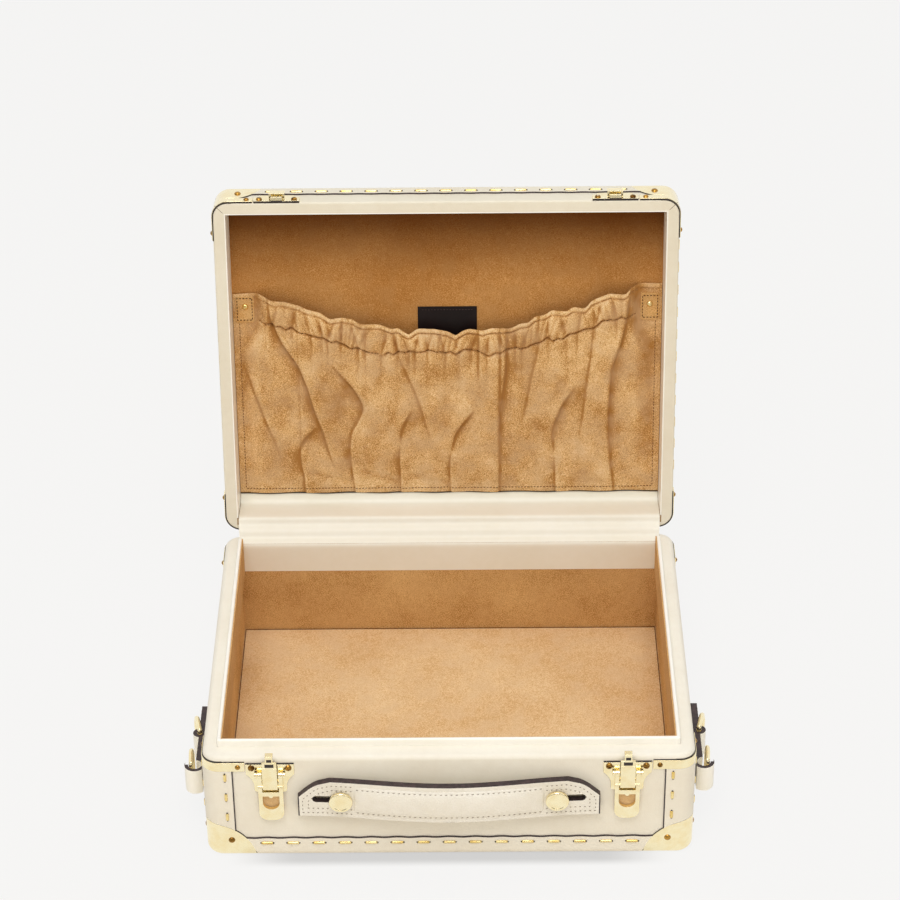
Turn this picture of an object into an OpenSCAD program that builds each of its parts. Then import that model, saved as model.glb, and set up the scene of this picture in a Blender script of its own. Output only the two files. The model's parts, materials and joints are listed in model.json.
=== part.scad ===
// Small hard leather suitcase with brass corners, two draw latches, a strap
// handle, D-rings at the sides and a gathered pocket in the lid. It is drawn
// with its lid open on its stop. The origin is the centre of the body's
// underside, the front faces -Y and +Z is up.

/* [Case] */
// Width of the case, left to right
case_w = 330; // [316:1:360]
// Depth of the case, front to back
case_d = 255; // [244:1:285]
// Height of the body, floor to rim
body_h = 86.3; // [84:0.1:100]
// Height of the lid
lid_h = 32.5; // [31:0.5:40]
// Radius of the upright corners
corner_r = 11; // [9:0.5:13]
// Radius of the long edges of the base and of the lid's top
edge_r = 5; // [4:0.5:6]
// Radius of the outer edge of the body's rim
rim_r = 3.5; // [2.5:0.5:4]
// Thickness of the leather cover
cover_t = 1.2; // [0.8:0.1:1.6]
// Thickness of the body's side and back walls
wall_t = 9.8; // [8:0.2:11]
// Thickness of the body's front wall
front_wall_t = 11.5; // [10:0.5:13]
// Thickness of the floor board
floor_t = 4.8; // [3:0.2:6]
// Thickness of the lid's walls
lid_wall_t = 8.2; // [7:0.2:9]
// Thickness of the lid's top board
lid_board_t = 2.3; // [1.5:0.1:3]
// Thickness of the suede linings
lining_t = 0.8; // [0.5:0.1:1.2]
// Gap between the two rims when the case is shut
rim_gap = 0.4; // [0.3:0.1:0.8]
// Angle that the lid opens to
open_angle = 99.75; // [92:0.25:104]

/* [Raised lip] */
// Height of the lip above the rim
lip_h = 5.5; // [4:0.5:8]
// Thickness of the lip
lip_t = 2.6; // [2:0.1:3]

/* [Leather bands] */
// Height of the band round the base and round the lid's top
band_h = 16; // [14:0.5:18]
// Thickness of the bands
band_t = 0.8; // [0.5:0.1:1.2]
// Reach of the upright corner bands from the corner
corner_band_w = 20; // [18:1:24]

/* [Metal trim] */
// Reach of a corner cap along the edges
cap_reach = 34; // [30:1:38]
// Height of a corner cap up the corner
cap_rise = 29; // [26:1:30]
// Thickness of the caps
cap_t = 0.8; // [0.6:0.1:1.2]
// Reach of a rim bracket from the corner
bracket_reach = 28.5; // [24:0.5:28.5]
// Height of a rim bracket
bracket_h = 7.4; // [6:0.2:8]
// Thickness of the rim brackets
bracket_t = 0.9; // [0.6:0.1:1.2]
// Distance from the body's rim down to its brackets
bracket_drop = 4; // [4:0.2:5]
// Distance from the lid's rim to its brackets
lid_bracket_drop = 1; // [1:0.2:2]
// Length of a metal stitch
stitch_l = 8.5; // [6:0.5:10]
// Width of a metal stitch
stitch_w = 2.2; // [1.6:0.1:2.6]
// Height of the row of stitches above the base
stitch_z = 11.7; // [9:0.1:12]
// Diameter of a nail's head
nail_d = 4.6; // [3:0.1:5]
// Height of a nail's head
nail_h = 1.5; // [1:0.1:2]

/* [Latches] */
// Distance of each latch's middle from the side of the case
latch_inset = 45.5; // [45.5:0.5:47]
// Width of a latch plate
plate_w = 32.4; // [28:0.2:32.4]
// Thickness of the latch plate
plate_t = 1; // [0.8:0.1:1.2]
// Distance from the rim down to the lever's pivot
pivot_drop = 12.3; // [12:0.1:13]
// Width of the lever
lever_w = 16.8; // [16:0.2:18]
// Length of the lever below its pivot
lever_l = 39; // [36:0.5:44]
// Thickness of the lever
lever_t = 2.6; // [2.2:0.1:3]
// Width of the draw tongue
tongue_w = 10; // [8:0.2:10.4]
// Distance from the lever's pivot down to the tongue's pin
throw = 10; // [9:0.5:11]
// Angle that a lever swings up
lever_swing = 110; // [90:5:110]

/* [Handle] */
// Distance of each knob from its end of the strap
knob_inset = 29; // [27:0.5:32]
// Height of the knobs above the base
knob_z = 55.5; // [50:0.5:58]
// Diameter of a knob
knob_d = 15.8; // [12:0.2:18]
// Gap between an end of the strap and the latch's lever
strap_gap = 9.6; // [5:0.1:16]
// Height of the handle's strap
strap_h = 30; // [26:0.5:32]
// Thickness of the handle's strap
strap_t = 5; // [3:0.1:6]
// Outward bow of the handle's middle
strap_bow = 7.8; // [6:0.2:10]
// Thickness of the padded grip at its crown
grip_t = 2.6; // [2:0.2:4]
// Length of the slots beside the knobs
slot_l = 16.5; // [10:0.5:20]

/* [Side straps and rings] */
// Distance from the front of the case to the back end of a side strap
tab_reach = 99.5; // [99:0.5:110]
// Height of a side strap's lower edge
tab_z = 30; // [30:0.5:36]
// Height of a side strap
tab_h = 20; // [16:0.5:22]
// Thickness of the leather pad under a side strap
pad_t = 4; // [3:0.2:5]
// Thickness of a side strap
tab_t = 4.6; // [4:0.2:5]
// Diameter of the rings' wire
ring_wire = 3.4; // [2.6:0.1:3.6]
// Depth of a ring, from its bar to its tip
ring_reach = 23; // [20:0.5:24]

/* [Hinges] */
// Distance of each hinge from the middle
hinge_x = 95; // [70:1:100]
// Width of a hinge
hinge_w = 44; // [36:1:50]
// Height of a hinge leaf
leaf_h = 16; // [12:0.5:20]
// Distance from the back of the case to the hinge axis
hinge_stand = 2.7; // [2.7:0.1:3.2]
// Radius of a hinge knuckle
knuckle_r = 2.3; // [2:0.1:2.3]
// Radius of the hinge pins
hinge_pin_r = 1.2; // [1:0.1:1.4]

/* [Pocket and label] */
// Distance of the pocket's lower edge from the back of the lid
pocket_low = 17.5; // [16:0.5:20]
// Distance of the pocket's top corners from the back of the lid
pocket_high = 178; // [165:1:185]
// Drop of the pocket's elastic edge in the middle
pocket_sag = 28; // [20:1:34]
// Stand-off of the pocket's mouth from the lining
pocket_bulge = 9.5; // [8.5:0.5:11]
// Thickness of the pocket's suede
pocket_t = 1.2; // [0.8:0.1:1.6]
// Distance between the pocket's pleats
pleat_pitch = 36.7; // [34:0.1:38]
// Width of the label
label_w = 43; // [36:1:50]
// Height of the label
label_h = 30; // [24:1:34]

/* [Hidden] */
$fn = 48;

LEATHER = "#E9DFCB";
PALE_LEATHER = "#F6EFDD";
EDGE_PAINT = "#3A2C30";
BRASS = "#E6C878";
SUEDE = "#CDA064";
DARK_SUEDE = "#AA733C";
LABEL_LEATHER = "#2A1D1B";
BOARD = "#B9966A";

half_w = case_w / 2;
half_d = case_d / 2;
lid_z = body_h + rim_gap;
shut_h = lid_z + lid_h;
axis_y = half_d + hinge_stand;
axis_z = body_h + rim_gap / 2;

// Small gap between parts that move past each other
play = 0.4;
// Radial gap of a pin in its bore
pin_play = 0.05;
// Depth that a cut runs past a face
past = 1;

floor_z = cover_t + floor_t;
inner_w = case_w - 2 * wall_t;
inner_front = -(half_d - front_wall_t);
inner_back = half_d - wall_t;
suede_z = floor_z + lining_t;
lid_inner_w = case_w - 2 * lid_wall_t;
lid_inner_front = -(half_d - lid_wall_t);
lid_inner_back = half_d - lid_wall_t;
// Height inside the lid, from its rim to the board and to the lining
lid_board_v = lid_h - cover_t - lid_board_t;
lid_suede_v = lid_board_v - lining_t;

// The ball whose cut through the case's corner outlines a cap
cap_drop = (cap_reach * cap_reach - cap_rise * cap_rise) / (2 * cap_rise);
cap_ball_r = cap_rise + cap_drop;

// Leather over the hinge side, inside
hinge_leather_t = 1;
hinge_leather_low = 61;
hinge_leather_lap = 7;
lid_leather_t = 0.8;

module edge_profile(w, h, low_r, high_r) {
    // Upright outline, standing on y = 0, with rounded lower and upper corners
    translate([-w / 2, low_r]) square([w, h - low_r - high_r]);
    translate([-w / 2 + low_r, 0]) square([w - 2 * low_r, h / 2]);
    translate([-w / 2 + high_r, h / 2]) square([w - 2 * high_r, h / 2]);
    for (side = [-1, 1]) {
        if (low_r > 0) translate([side * (w / 2 - low_r), low_r]) circle(low_r);
        if (high_r > 0) translate([side * (w / 2 - high_r), h - high_r]) circle(high_r);
    }
}

module slab(w, d, h, r, low_r, high_r) {
    // Block with upright corners of radius r and rounded lower and upper edges
    rotate([90, 0, 90]) translate([0, 0, -(w / 2 - r)])
        linear_extrude(w - 2 * r) edge_profile(d, h, low_r, high_r);
    rotate([90, 0, 0]) translate([0, 0, -(d / 2 - r)])
        linear_extrude(d - 2 * r) edge_profile(w, h, low_r, high_r);
    for (x = [-1, 1], y = [-1, 1])
        translate([x * (w / 2 - r), y * (d / 2 - r), 0])
            rotate_extrude() intersection() {
                edge_profile(2 * r, h, low_r, high_r);
                square([r, h]);
            }
}

module case_slab(h, grow, high_r) {
    // The outside of the case, standing on z = 0, with its faces moved out by grow
    translate([0, 0, -grow])
        slab(case_w + 2 * grow, case_d + 2 * grow, h + grow + (high_r > 0 ? grow : 0),
            corner_r + grow, edge_r + grow, high_r > 0 ? high_r + grow : 0);
}

module box_between(low, high) {
    translate(low) cube(high - low);
}

module above(z) {
    box_between([-case_w, -case_d, z], [case_w, case_d, shut_h + case_d]);
}

module cap_ball(x, y) {
    translate([x * half_w, y * half_d, -cap_drop]) rotate([0, 0, atan2(y, x)])
        sphere(cap_ball_r);
}

module corner_cap(x, y, h) {
    // One brass corner over three faces, let in flush under the base
    difference() {
        intersection() {
            case_slab(h, cap_t, 0);
            cap_ball(x, y);
            above(0);
        }
        intersection() {
            case_slab(h, 0, 0);
            above(cap_t);
        }
    }
}

module corner_boxes(reach, z_low, z_high) {
    // The four upright corners of the case, out to the given reach
    for (x = [-1, 1], y = [-1, 1])
        box_between(
            [min(x * (half_w - reach), x * case_w), min(y * (half_d - reach), y * case_d), z_low],
            [max(x * (half_w - reach), x * case_w), max(y * (half_d - reach), y * case_d), z_high]);
}

module wall_wrap(t, h, high_r) {
    // A layer of thickness t over the outside of the case
    difference() {
        case_slab(h, t, high_r);
        case_slab(h, 0, high_r);
    }
}

module band_strip(run, depth) {
    // One wall's band, bent round the edge of the base: run is the wall's length,
    // depth the distance between the two walls across from each other
    rotate([90, 0, 90]) linear_extrude(run - 2 * corner_r, center = true) difference() {
        intersection() {
            translate([0, -band_t])
                edge_profile(depth + 2 * band_t, band_h + edge_r, edge_r + band_t, 0);
            translate([-depth, 0.5]) square([depth, band_h - 0.5]);
        }
        edge_profile(depth, band_h + 2 * edge_r, edge_r, 0);
    }
}

module edge_band() {
    // Leather band round the base, stopping at the caps
    difference() {
        for (side = [0:3]) rotate([0, 0, side * 90])
            if (side % 2 == 0) band_strip(case_w, case_d);
            else band_strip(case_d, case_w);
        for (x = [-1, 1], y = [-1, 1]) cap_ball(x, y);
    }
}

module upright_bands(h, z_high) {
    // Leather bands up the four corners, from the edge band to the brackets
    difference() {
        intersection() {
            wall_wrap(band_t, h, 0);
            corner_boxes(corner_band_w, band_h, z_high);
        }
        for (x = [-1, 1], y = [-1, 1]) cap_ball(x, y);
    }
}

module brackets(h, z_low, z_high) {
    intersection() {
        wall_wrap(bracket_t, h, 0);
        corner_boxes(bracket_reach, z_low, z_high);
    }
}

module on_face(side, along, z, out) {
    // Places a child on one of the four walls, its +Z pointing out of the wall.
    // side is 0 front, 1 right, 2 back, 3 left; along runs from the wall's middle
    depth = (side % 2 == 0 ? half_d : half_w) + out;
    rotate([0, 0, side * 90]) translate([along, -depth, z]) rotate([90, 0, 0]) children();
}

module dome(d, h) {
    // Round head: a slice of a ball, flat underneath
    ball_r = (d * d / 4 + h * h) / (2 * h);
    intersection() {
        translate([0, 0, h - ball_r]) sphere(ball_r);
        cylinder(r = d, h = h);
    }
}

module stitch(length) {
    // Half-round metal dash lying on a wall, along the local x
    bar_r = stitch_w / 2;
    intersection() {
        union() {
            rotate([0, 90, 0]) cylinder(r = bar_r, h = length - stitch_w, center = true);
            for (side = [-1, 1]) translate([side * (length / 2 - bar_r), 0, 0]) sphere(bar_r);
        }
        translate([-length, -stitch_w, 0]) cube([2 * length, 2 * stitch_w, stitch_w]);
    }
}

stitch_margin = 2.7;
front_stitches = 7;
side_stitches = 5;

module stitch_row(z) {
    // Dashes along the edge band of all four walls, between the caps
    for (side = [0:3]) {
        half_run = (side % 2 == 0 ? half_w : half_d) - cap_reach - stitch_l / 2 - stitch_margin;
        count = side % 2 == 0 ? front_stitches : side_stitches;
        for (k = [-count:count])
            on_face(side, k * half_run / count, z, band_t) stitch(stitch_l);
    }
}

corner_stitch_l = 6.5;
corner_stitch_inset = 15;
corner_stitch_low = 35.2;
body_bracket_high = body_h - bracket_drop;
body_bracket_low = body_bracket_high - bracket_h;
corner_stitch_pitch = (body_bracket_low - corner_stitch_low - 5.3) / 2;

module corner_stitches() {
    for (side = [0:3], hand = [-1, 1], k = [0:2]) {
        along = (side % 2 == 0 ? half_w : half_d) - corner_stitch_inset;
        on_face(side, hand * along, corner_stitch_low + k * corner_stitch_pitch, band_t)
            rotate([0, 0, 90]) stitch(corner_stitch_l);
    }
}

cap_nail_inset = 17;
cap_nail_z = 14.5;
bracket_nail_inset = 24;

module nails(bracket_z) {
    // Nails of the caps and brackets of one half, two of each at every corner
    for (side = [0:3], hand = [-1, 1]) {
        half_run = side % 2 == 0 ? half_w : half_d;
        on_face(side, hand * (half_run - cap_nail_inset), cap_nail_z, cap_t) dome(nail_d, nail_h);
        on_face(side, hand * (half_run - bracket_nail_inset), bracket_z, bracket_t)
            dome(nail_d * 0.8, nail_h);
    }
}

module as_lid() {
    // Turns something that stands on the base into its copy on the shut lid's top
    translate([0, 0, shut_h]) mirror([0, 0, 1]) children();
}

module opened() {
    // Swings the shut lid about the hinge axis to its stop
    translate([0, axis_y, axis_z]) rotate([-open_angle, 0, 0])
        translate([0, -axis_y, -axis_z]) children();
}

// Handle: sizes shared by the knobs, the strap and the grip
latch_x = half_w - latch_inset;
strap_l = 2 * (latch_x - lever_w / 2 - strap_gap);
strap_low = knob_z - strap_h / 2;
knob_x = strap_l / 2 - knob_inset;
stem_r = 2.2;
stem_in = 9;
end_gap = 1.2;
knob_under = strap_back(knob_x - knob_d / 2) + strap_t + 0.12;
knob_t = 3;
nut_r = 6;
nut_t = 2.2;

module knob_places() {
    for (x = [-knob_x, knob_x]) on_face(0, x, knob_z, 0) children();
}

module stem_holes() {
    knob_places() translate([0, 0, -front_wall_t])
        cylinder(r = stem_r + pin_play, h = front_wall_t + past);
}

module body_core() {
    color(BOARD) difference() {
        intersection() {
            translate([0, 0, cover_t])
                slab(case_w - 2 * cover_t, case_d - 2 * cover_t, body_h - 2 * cover_t,
                    corner_r - cover_t, edge_r - cover_t, rim_r - cover_t);
            above(cover_t);
        }
        box_between([-inner_w / 2, inner_front, floor_z],
            [inner_w / 2, inner_back, body_h + past]);
        stem_holes();
        knob_places() translate([0, 0, -front_wall_t - past])
            cylinder(r = nut_r + pin_play, h = nut_t + past);
    }
}

module body_cover() {
    color(LEATHER) difference() {
        case_slab_round_rim();
        translate([0, 0, cover_t])
            slab(case_w - 2 * cover_t, case_d - 2 * cover_t, body_h - 2 * cover_t,
                corner_r - cover_t, edge_r - cover_t, rim_r - cover_t);
        box_between([-inner_w / 2, inner_front, body_h / 2],
            [inner_w / 2, inner_back, body_h + past]);
        // Seat of the hinge leather on the back wall
        box_between([-inner_w / 2, inner_back - past, body_h - cover_t],
            [inner_w / 2, inner_back + hinge_leather_lap, body_h + past]);
        // Seats of the four caps under the base
        for (x = [-1, 1], y = [-1, 1]) intersection() {
            cap_ball(x, y);
            box_between([-case_w, -case_d, -past], [case_w, case_d, cap_t]);
        }
        stem_holes();
    }
}

module case_slab_round_rim() {
    slab(case_w, case_d, body_h, corner_r, edge_r, rim_r);
}

lip_back = inner_back - hinge_leather_t - 0.2;

module collar(reach, t, z_high) {
    // Upright strip on the front and side walls, reach inside them, down to the hinge leather's edge
    difference() {
        box_between([-inner_w / 2 + reach, inner_front + reach, hinge_leather_low],
            [inner_w / 2 - reach, lip_back, z_high]);
        box_between([-inner_w / 2 + reach + t, inner_front + reach + t, hinge_leather_low - past],
            [inner_w / 2 - reach - t, inner_back + past, z_high + past]);
    }
}

module body_lip() {
    // Collar of leather over board that stands above the rim
    color(PALE_LEATHER) collar(0, lip_t, body_h + lip_h);
}

module floor_lining() {
    color(SUEDE)
        box_between([-inner_w / 2, inner_front, floor_z], [inner_w / 2, inner_back, suede_z]);
}

lining_drop = 1;

module collar_lining() {
    // Suede on the inside of the collar
    color(SUEDE) collar(lip_t, lining_t, body_h + lip_h - lining_drop);
}

module wall_lining() {
    // Suede on the four walls below the collar and the hinge leather
    color(DARK_SUEDE) difference() {
        box_between([-inner_w / 2, inner_front, suede_z], [inner_w / 2, inner_back, hinge_leather_low]);
        box_between([-inner_w / 2 + lining_t, inner_front + lining_t, suede_z - past],
            [inner_w / 2 - lining_t, inner_back - lining_t, hinge_leather_low + past]);
    }
}

module base_band() {
    color(LEATHER) edge_band();
}

module corner_bands() {
    color(LEATHER) upright_bands(body_h, body_bracket_low);
}

module body_stitches() {
    color(BRASS) {
        stitch_row(stitch_z);
        corner_stitches();
    }
}

module base_cap(x, y) {
    color(BRASS) corner_cap(x, y, body_h);
}

module rim_brackets() {
    color(BRASS) brackets(body_h, body_bracket_low, body_bracket_high);
}

module body_nails() {
    color(BRASS) nails((body_bracket_low + body_bracket_high) / 2);
}

// Stations along the handle, and the stand-off of its back from the wall there
handle_steps = 28;

function strap_back(x) = end_gap + strap_bow * (0.5 + 0.5 * cos(360 * x / strap_l));

module bowed_band(length, inner, outer) {
    // Plan outline between two offsets from the strap's back
    stations = [for (i = [0:handle_steps]) length * (i / handle_steps - 0.5)];
    polygon(concat(
        [for (x = stations) [x, -half_d - strap_back(x) - inner]],
        [for (i = [handle_steps:-1:0]) [stations[i], -half_d - strap_back(stations[i]) - outer]]));
}

end_h = 16;
chamfer_x = 11;
shoulder_x = 22;
shoulder_z = 26.5;

module strap_outline() {
    // Front outline of the strap: square below, cut away at the upper corners
    half_l = strap_l / 2;
    polygon([
        [-half_l + 1, 0], [half_l - 1, 0], [half_l, 1], [half_l, end_h],
        [half_l - chamfer_x, shoulder_z], [half_l - shoulder_x, strap_h],
        [-half_l + shoulder_x, strap_h], [-half_l + chamfer_x, shoulder_z],
        [-half_l, end_h], [-half_l, 1]
    ]);
}

slot_h = 5.4;

module handle_strap() {
    color(PALE_LEATHER) difference() {
        intersection() {
            translate([0, 0, strap_low]) linear_extrude(strap_h) bowed_band(strap_l, 0, strap_t);
            translate([0, 0, strap_low]) rotate([90, 0, 0])
                linear_extrude(case_d) strap_outline();
        }
        for (side = [-1, 1]) for (reach = [0, slot_l])
            on_face(0, side * (knob_x + reach), knob_z, 0) cylinder(d = slot_h, h = 3 * knob_under);
        for (side = [-1, 1])
            on_face(0, side * (knob_x + slot_l / 2), knob_z, 0)
                translate([-slot_l / 2, -slot_h / 2, 0]) cube([slot_l, slot_h, 3 * knob_under]);
    }
}

// The grip: rings of points along the handle, each a flat back and a crowned front
grip_end_gap = 1;
grip_h = 23;
grip_rings = 30;
grip_arc = 12;
grip_lift = 0.3;

function grip_l() = 2 * knob_x - knob_d - 2 * grip_end_gap;
// Fullness of the padding: 0 at the two ends, 1 over most of the length
function grip_full(s) = pow(max(0, 1 - pow(abs(2 * s - 1), 10)), 0.5);
function grip_point(i, j) =
    let (s = i / grip_rings,
         x = grip_l() * (s - 0.5),
         across = j / grip_arc,
         crown = pow(max(0, 1 - pow(abs(2 * across - 1), 3.2)), 0.6),
         thick = j == 0 || j == grip_arc ? 0.6 : 0.6 + (grip_t - 0.6) * crown * grip_full(s))
    [x, -half_d - strap_back(x) - strap_t - grip_lift - thick, knob_z + grip_h * (across - 0.5)];
function grip_back(i, j) =
    let (x = grip_l() * (i / grip_rings - 0.5))
    [x, -half_d - strap_back(x) - strap_t - grip_lift, knob_z + grip_h * (0.5 - j)];

module handle_grip() {
    side = grip_arc + 3;
    points = [for (i = [0:grip_rings]) each concat(
        [for (j = [0:grip_arc]) grip_point(i, j)], [grip_back(i, 0), grip_back(i, 1)])];
    skin = [for (i = [0:grip_rings - 1], j = [0:side - 1])
        each let (a = i * side + j, b = i * side + (j + 1) % side)
            [[a, b, b + side], [a, b + side, a + side]]];
    ends = [for (i = [0, grip_rings], j = [0:side - 3])
        let (a = i * side, b = a + side - 1)
            i == 0 ? [b, a + j + 1, a + j] : [b, a + j, a + j + 1]];
    color(PALE_LEATHER) polyhedron(points, concat(skin, ends));
}

module handle_knob(x) {
    color(BRASS) on_face(0, x, knob_z, 0) {
        translate([0, 0, -stem_in]) cylinder(r = stem_r, h = stem_in + knob_under);
        translate([0, 0, knob_under]) {
            cylinder(d = knob_d, h = knob_t - 0.6);
            translate([0, 0, knob_t - 0.6]) cylinder(d1 = knob_d, d2 = knob_d - 1.6, h = 0.6);
        }
    }
}

module handle_nuts() {
    // Nuts let into the back of the front wall, behind the lip
    color(BRASS) knob_places() translate([0, 0, -front_wall_t]) difference() {
        cylinder(r = nut_r, h = nut_t);
        translate([0, 0, -past]) cylinder(r = stem_r + pin_play, h = nut_t + 2 * past);
    }
}

// Latches: heights are measured from the base and stand-offs from the front wall
pivot_z = body_h - pivot_drop;
lever_back = plate_t + 0.5;
pivot_out = lever_back + lever_t / 2 + 0.7;
tongue_z = pivot_z - throw;
pivot_r = 1;
lever_gap = tongue_w + 3 * play;
plate_top = body_h - 5.2;
screw_z = plate_top - 3;
screw_inset = 3.8;
lug_t = 1.5;

module latch_frame(x) {
    // Local x across the latch, y up from the base, z out of the wall
    on_face(0, x, 0, 0) children();
}

module plate_outline() {
    // Shield: full width at the screws, drawn in by two hollow curves to a narrower foot
    shoulder = plate_w / 2 - 5.2;
    foot_z = pivot_z - 16.6;
    neck_z = foot_z + 4.6;
    hollow_r = plate_top - neck_z - 6.2;
    difference() {
        union() {
            translate([-plate_w / 2, neck_z]) square([plate_w, plate_top - neck_z]);
            translate([-shoulder, foot_z + 2]) square([2 * shoulder, plate_top - foot_z - 3]);
            for (side = [-1, 1]) translate([side * (shoulder - 2), foot_z + 2]) circle(2);
            translate([-shoulder + 2, foot_z]) square([2 * shoulder - 4, 3]);
        }
        for (side = [-1, 1]) translate([side * (shoulder + hollow_r), neck_z]) circle(hollow_r);
    }
}

module latch_plate(x) {
    color(BRASS) latch_frame(x) {
        linear_extrude(plate_t) plate_outline();
        // Lugs that hold the lever's pivots
        for (side = [-1, 1]) difference() {
            translate([side * (lever_w / 2 + play + lug_t / 2) - lug_t / 2, 0, 0]) {
                translate([0, pivot_z - 2.2, plate_t / 2]) cube([lug_t, 4.4, pivot_out - plate_t / 2]);
                translate([0, pivot_z, pivot_out]) rotate([0, 90, 0]) cylinder(r = 2.2, h = lug_t);
            }
            translate([-plate_w / 2, pivot_z, pivot_out]) rotate([0, 90, 0])
                cylinder(r = pivot_r + pin_play, h = plate_w);
        }
    }
}

module latch_pivot_pins() {
    color(BRASS) for (x = [-latch_x, latch_x]) latch_frame(x) for (side = [-1, 1]) {
        inner = lever_gap / 2 + 0.1;
        outer = lever_w / 2 + play + lug_t;
        translate([side > 0 ? inner : -outer, pivot_z, pivot_out]) rotate([0, 90, 0])
            cylinder(r = pivot_r, h = outer - inner);
    }
}

window_low = 9.5;
window_high = 20.8;
bridge_h = 3.6;

module lever_outline() {
    // Flat frame: two arms, a bridge, a window and a rounded foot, hung from y = 0
    foot_r = 6.4;
    difference() {
        union() {
            translate([-lever_w / 2, -lever_l + foot_r]) square([lever_w, lever_l - foot_r]);
            translate([-lever_w / 2 + foot_r, -lever_l]) square([lever_w - 2 * foot_r, foot_r + 1]);
            for (side = [-1, 1])
                translate([side * (lever_w / 2 - foot_r), -lever_l + foot_r]) circle(foot_r);
        }
        translate([-lever_gap / 2, -lever_l + window_high + bridge_h]) square([lever_gap, lever_l]);
        difference() {
            translate([0, -lever_l + window_low + lever_gap / 2]) {
                circle(lever_gap / 2);
                translate([-lever_gap / 2, 0])
                    square([lever_gap, window_high - window_low - lever_gap / 2]);
            }
            translate([0, -lever_l + window_high]) circle(1.4);
        }
    }
}

module latch_lever(x) {
    // The frame lies near the plate and its arms are thickened round the pivots
    color(BRASS) latch_frame(x) difference() {
        union() {
            translate([0, pivot_z, lever_back]) linear_extrude(lever_t) lever_outline();
            for (side = [-1, 1])
                translate([side > 0 ? lever_gap / 2 : -lever_w / 2, pivot_z, pivot_out])
                    rotate([0, 90, 0]) cylinder(r = 2.2, h = (lever_w - lever_gap) / 2);
        }
        translate([-lever_w, pivot_z, pivot_out]) rotate([0, 90, 0])
            cylinder(r = pivot_r + pin_play, h = 2 * lever_w);
        translate([-lever_w, tongue_z, pivot_out]) rotate([0, 90, 0])
            cylinder(r = pivot_r + pin_play, h = 2 * lever_w);
    }
}

hook_w = 5.2;
hook_top = body_h + 5.3;
tongue_out = pivot_out + 0.6;
tongue_t = 1.8;
hook_tip_in = plate_t + 0.5;

module latch_tongue(x) {
    // Plate with a rolled end on its pin and a narrow hook that turns in at the top
    outer = tongue_out + tongue_t;
    neck_z = body_h - 4.8;
    color(BRASS) latch_frame(x) difference() {
        union() {
            translate([-tongue_w / 2, tongue_z, pivot_out]) rotate([0, 90, 0])
                cylinder(r = outer - pivot_out, h = tongue_w);
            translate([-tongue_w / 2, tongue_z, tongue_out])
                cube([tongue_w, neck_z - tongue_z, tongue_t]);
            translate([-hook_w / 2, neck_z - 1, tongue_out])
                cube([hook_w, hook_top - neck_z + 1, tongue_t]);
            translate([-hook_w / 2, hook_top - 1.5, hook_tip_in])
                cube([hook_w, 1.5, outer - hook_tip_in]);
            translate([-hook_w / 2, hook_top - 2.7, hook_tip_in]) cube([hook_w, 2.7, 1.1]);
        }
        translate([-tongue_w, tongue_z, pivot_out]) rotate([0, 90, 0])
            cylinder(r = pivot_r + pin_play, h = 2 * tongue_w);
    }
}

module tongue_pin(x) {
    color(BRASS) latch_frame(x) translate([-lever_w / 2, tongue_z, pivot_out])
        rotate([0, 90, 0]) cylinder(r = pivot_r, h = lever_w);
}

module latch_screws() {
    color(BRASS) for (x = [-latch_x, latch_x], side = [-1, 1])
        on_face(0, x + side * (plate_w / 2 - screw_inset), screw_z, plate_t) dome(nail_d, nail_h);
}

// Side straps: their profile is drawn in plan, x out of the wall and y from the
// front of the case backwards
tab_start = 25.5;
loop_r = 7.2;
loop_wall = 2.6;
loop_out = 9;
loop_y = 36.5;
rear_bar_y = 70.5;
rear_bar_out = 8;
front_bar_y = loop_y - 1.6;
front_bar_out = loop_out + 2.3;
bar_sleeve = 2.7;
bar_play = 0.4;

module beside(hand) {
    // Right side for hand 1, mirrored for the left: origin at the wall's front end
    mirror([hand > 0 ? 0 : 1, 0, 0]) translate([half_w, -half_d, 0]) children();
}

module tab_profile() {
    bar_r = ring_wire / 2 + bar_play;
    strap_out = pad_t + tab_t;
    difference() {
        union() {
            translate([pad_t, loop_y]) square([tab_t, tab_reach - loop_y]);
            translate([rear_bar_out, rear_bar_y]) circle(bar_r + bar_sleeve);
            translate([loop_out, loop_y]) circle(loop_r);
        }
        square([2 * pad_t, 2 * tab_reach], center = true);
        translate([rear_bar_out, rear_bar_y]) circle(bar_r);
        translate([loop_out, loop_y]) circle(loop_r - loop_wall);
        // Where the rolled end stops short of the strap
        translate([strap_out, loop_y]) square([loop_r, loop_r + 1]);
    }
}

module side_pads() {
    color(EDGE_PAINT) for (hand = [-1, 1]) beside(hand)
        translate([0, loop_y, tab_z]) cube([pad_t, tab_reach - loop_y, tab_h]);
}

module side_strap(hand) {
    color(PALE_LEATHER) beside(hand) translate([0, 0, tab_z]) linear_extrude(tab_h) tab_profile();
}

module ring(hand, bar_out, bar_y, lean) {
    // D-ring: an upright bar, two arms and a half-round end, leaning out of the wall
    arc_r = tab_h / 2 + ring_wire / 2 + 2 * bar_play;
    arm_l = ring_reach - arc_r - ring_wire / 2;
    wire_r = ring_wire / 2;
    color(BRASS) beside(hand) translate([bar_out, bar_y, tab_z + tab_h / 2]) rotate([0, 0, -lean]) {
        cylinder(r = wire_r, h = 2 * arc_r, center = true);
        for (side = [-1, 1]) translate([0, 0, side * arc_r]) {
            sphere(wire_r);
            rotate([-90, 0, 0]) cylinder(r = wire_r, h = arm_l);
        }
        translate([0, arm_l, 0]) rotate([0, 90, 0]) rotate_extrude(angle = 180)
            translate([arc_r, 0]) circle(wire_r);
    }
}

rear_lean = 12;
front_lean = 4;

// Hinges: five knuckles a hinge, the body's at the ends and in the middle
knuckles = 5;
knuckle_gap = 0.2;
leaf_t = 1.2;
leaf_root = knuckle_r + 0.6;

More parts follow.
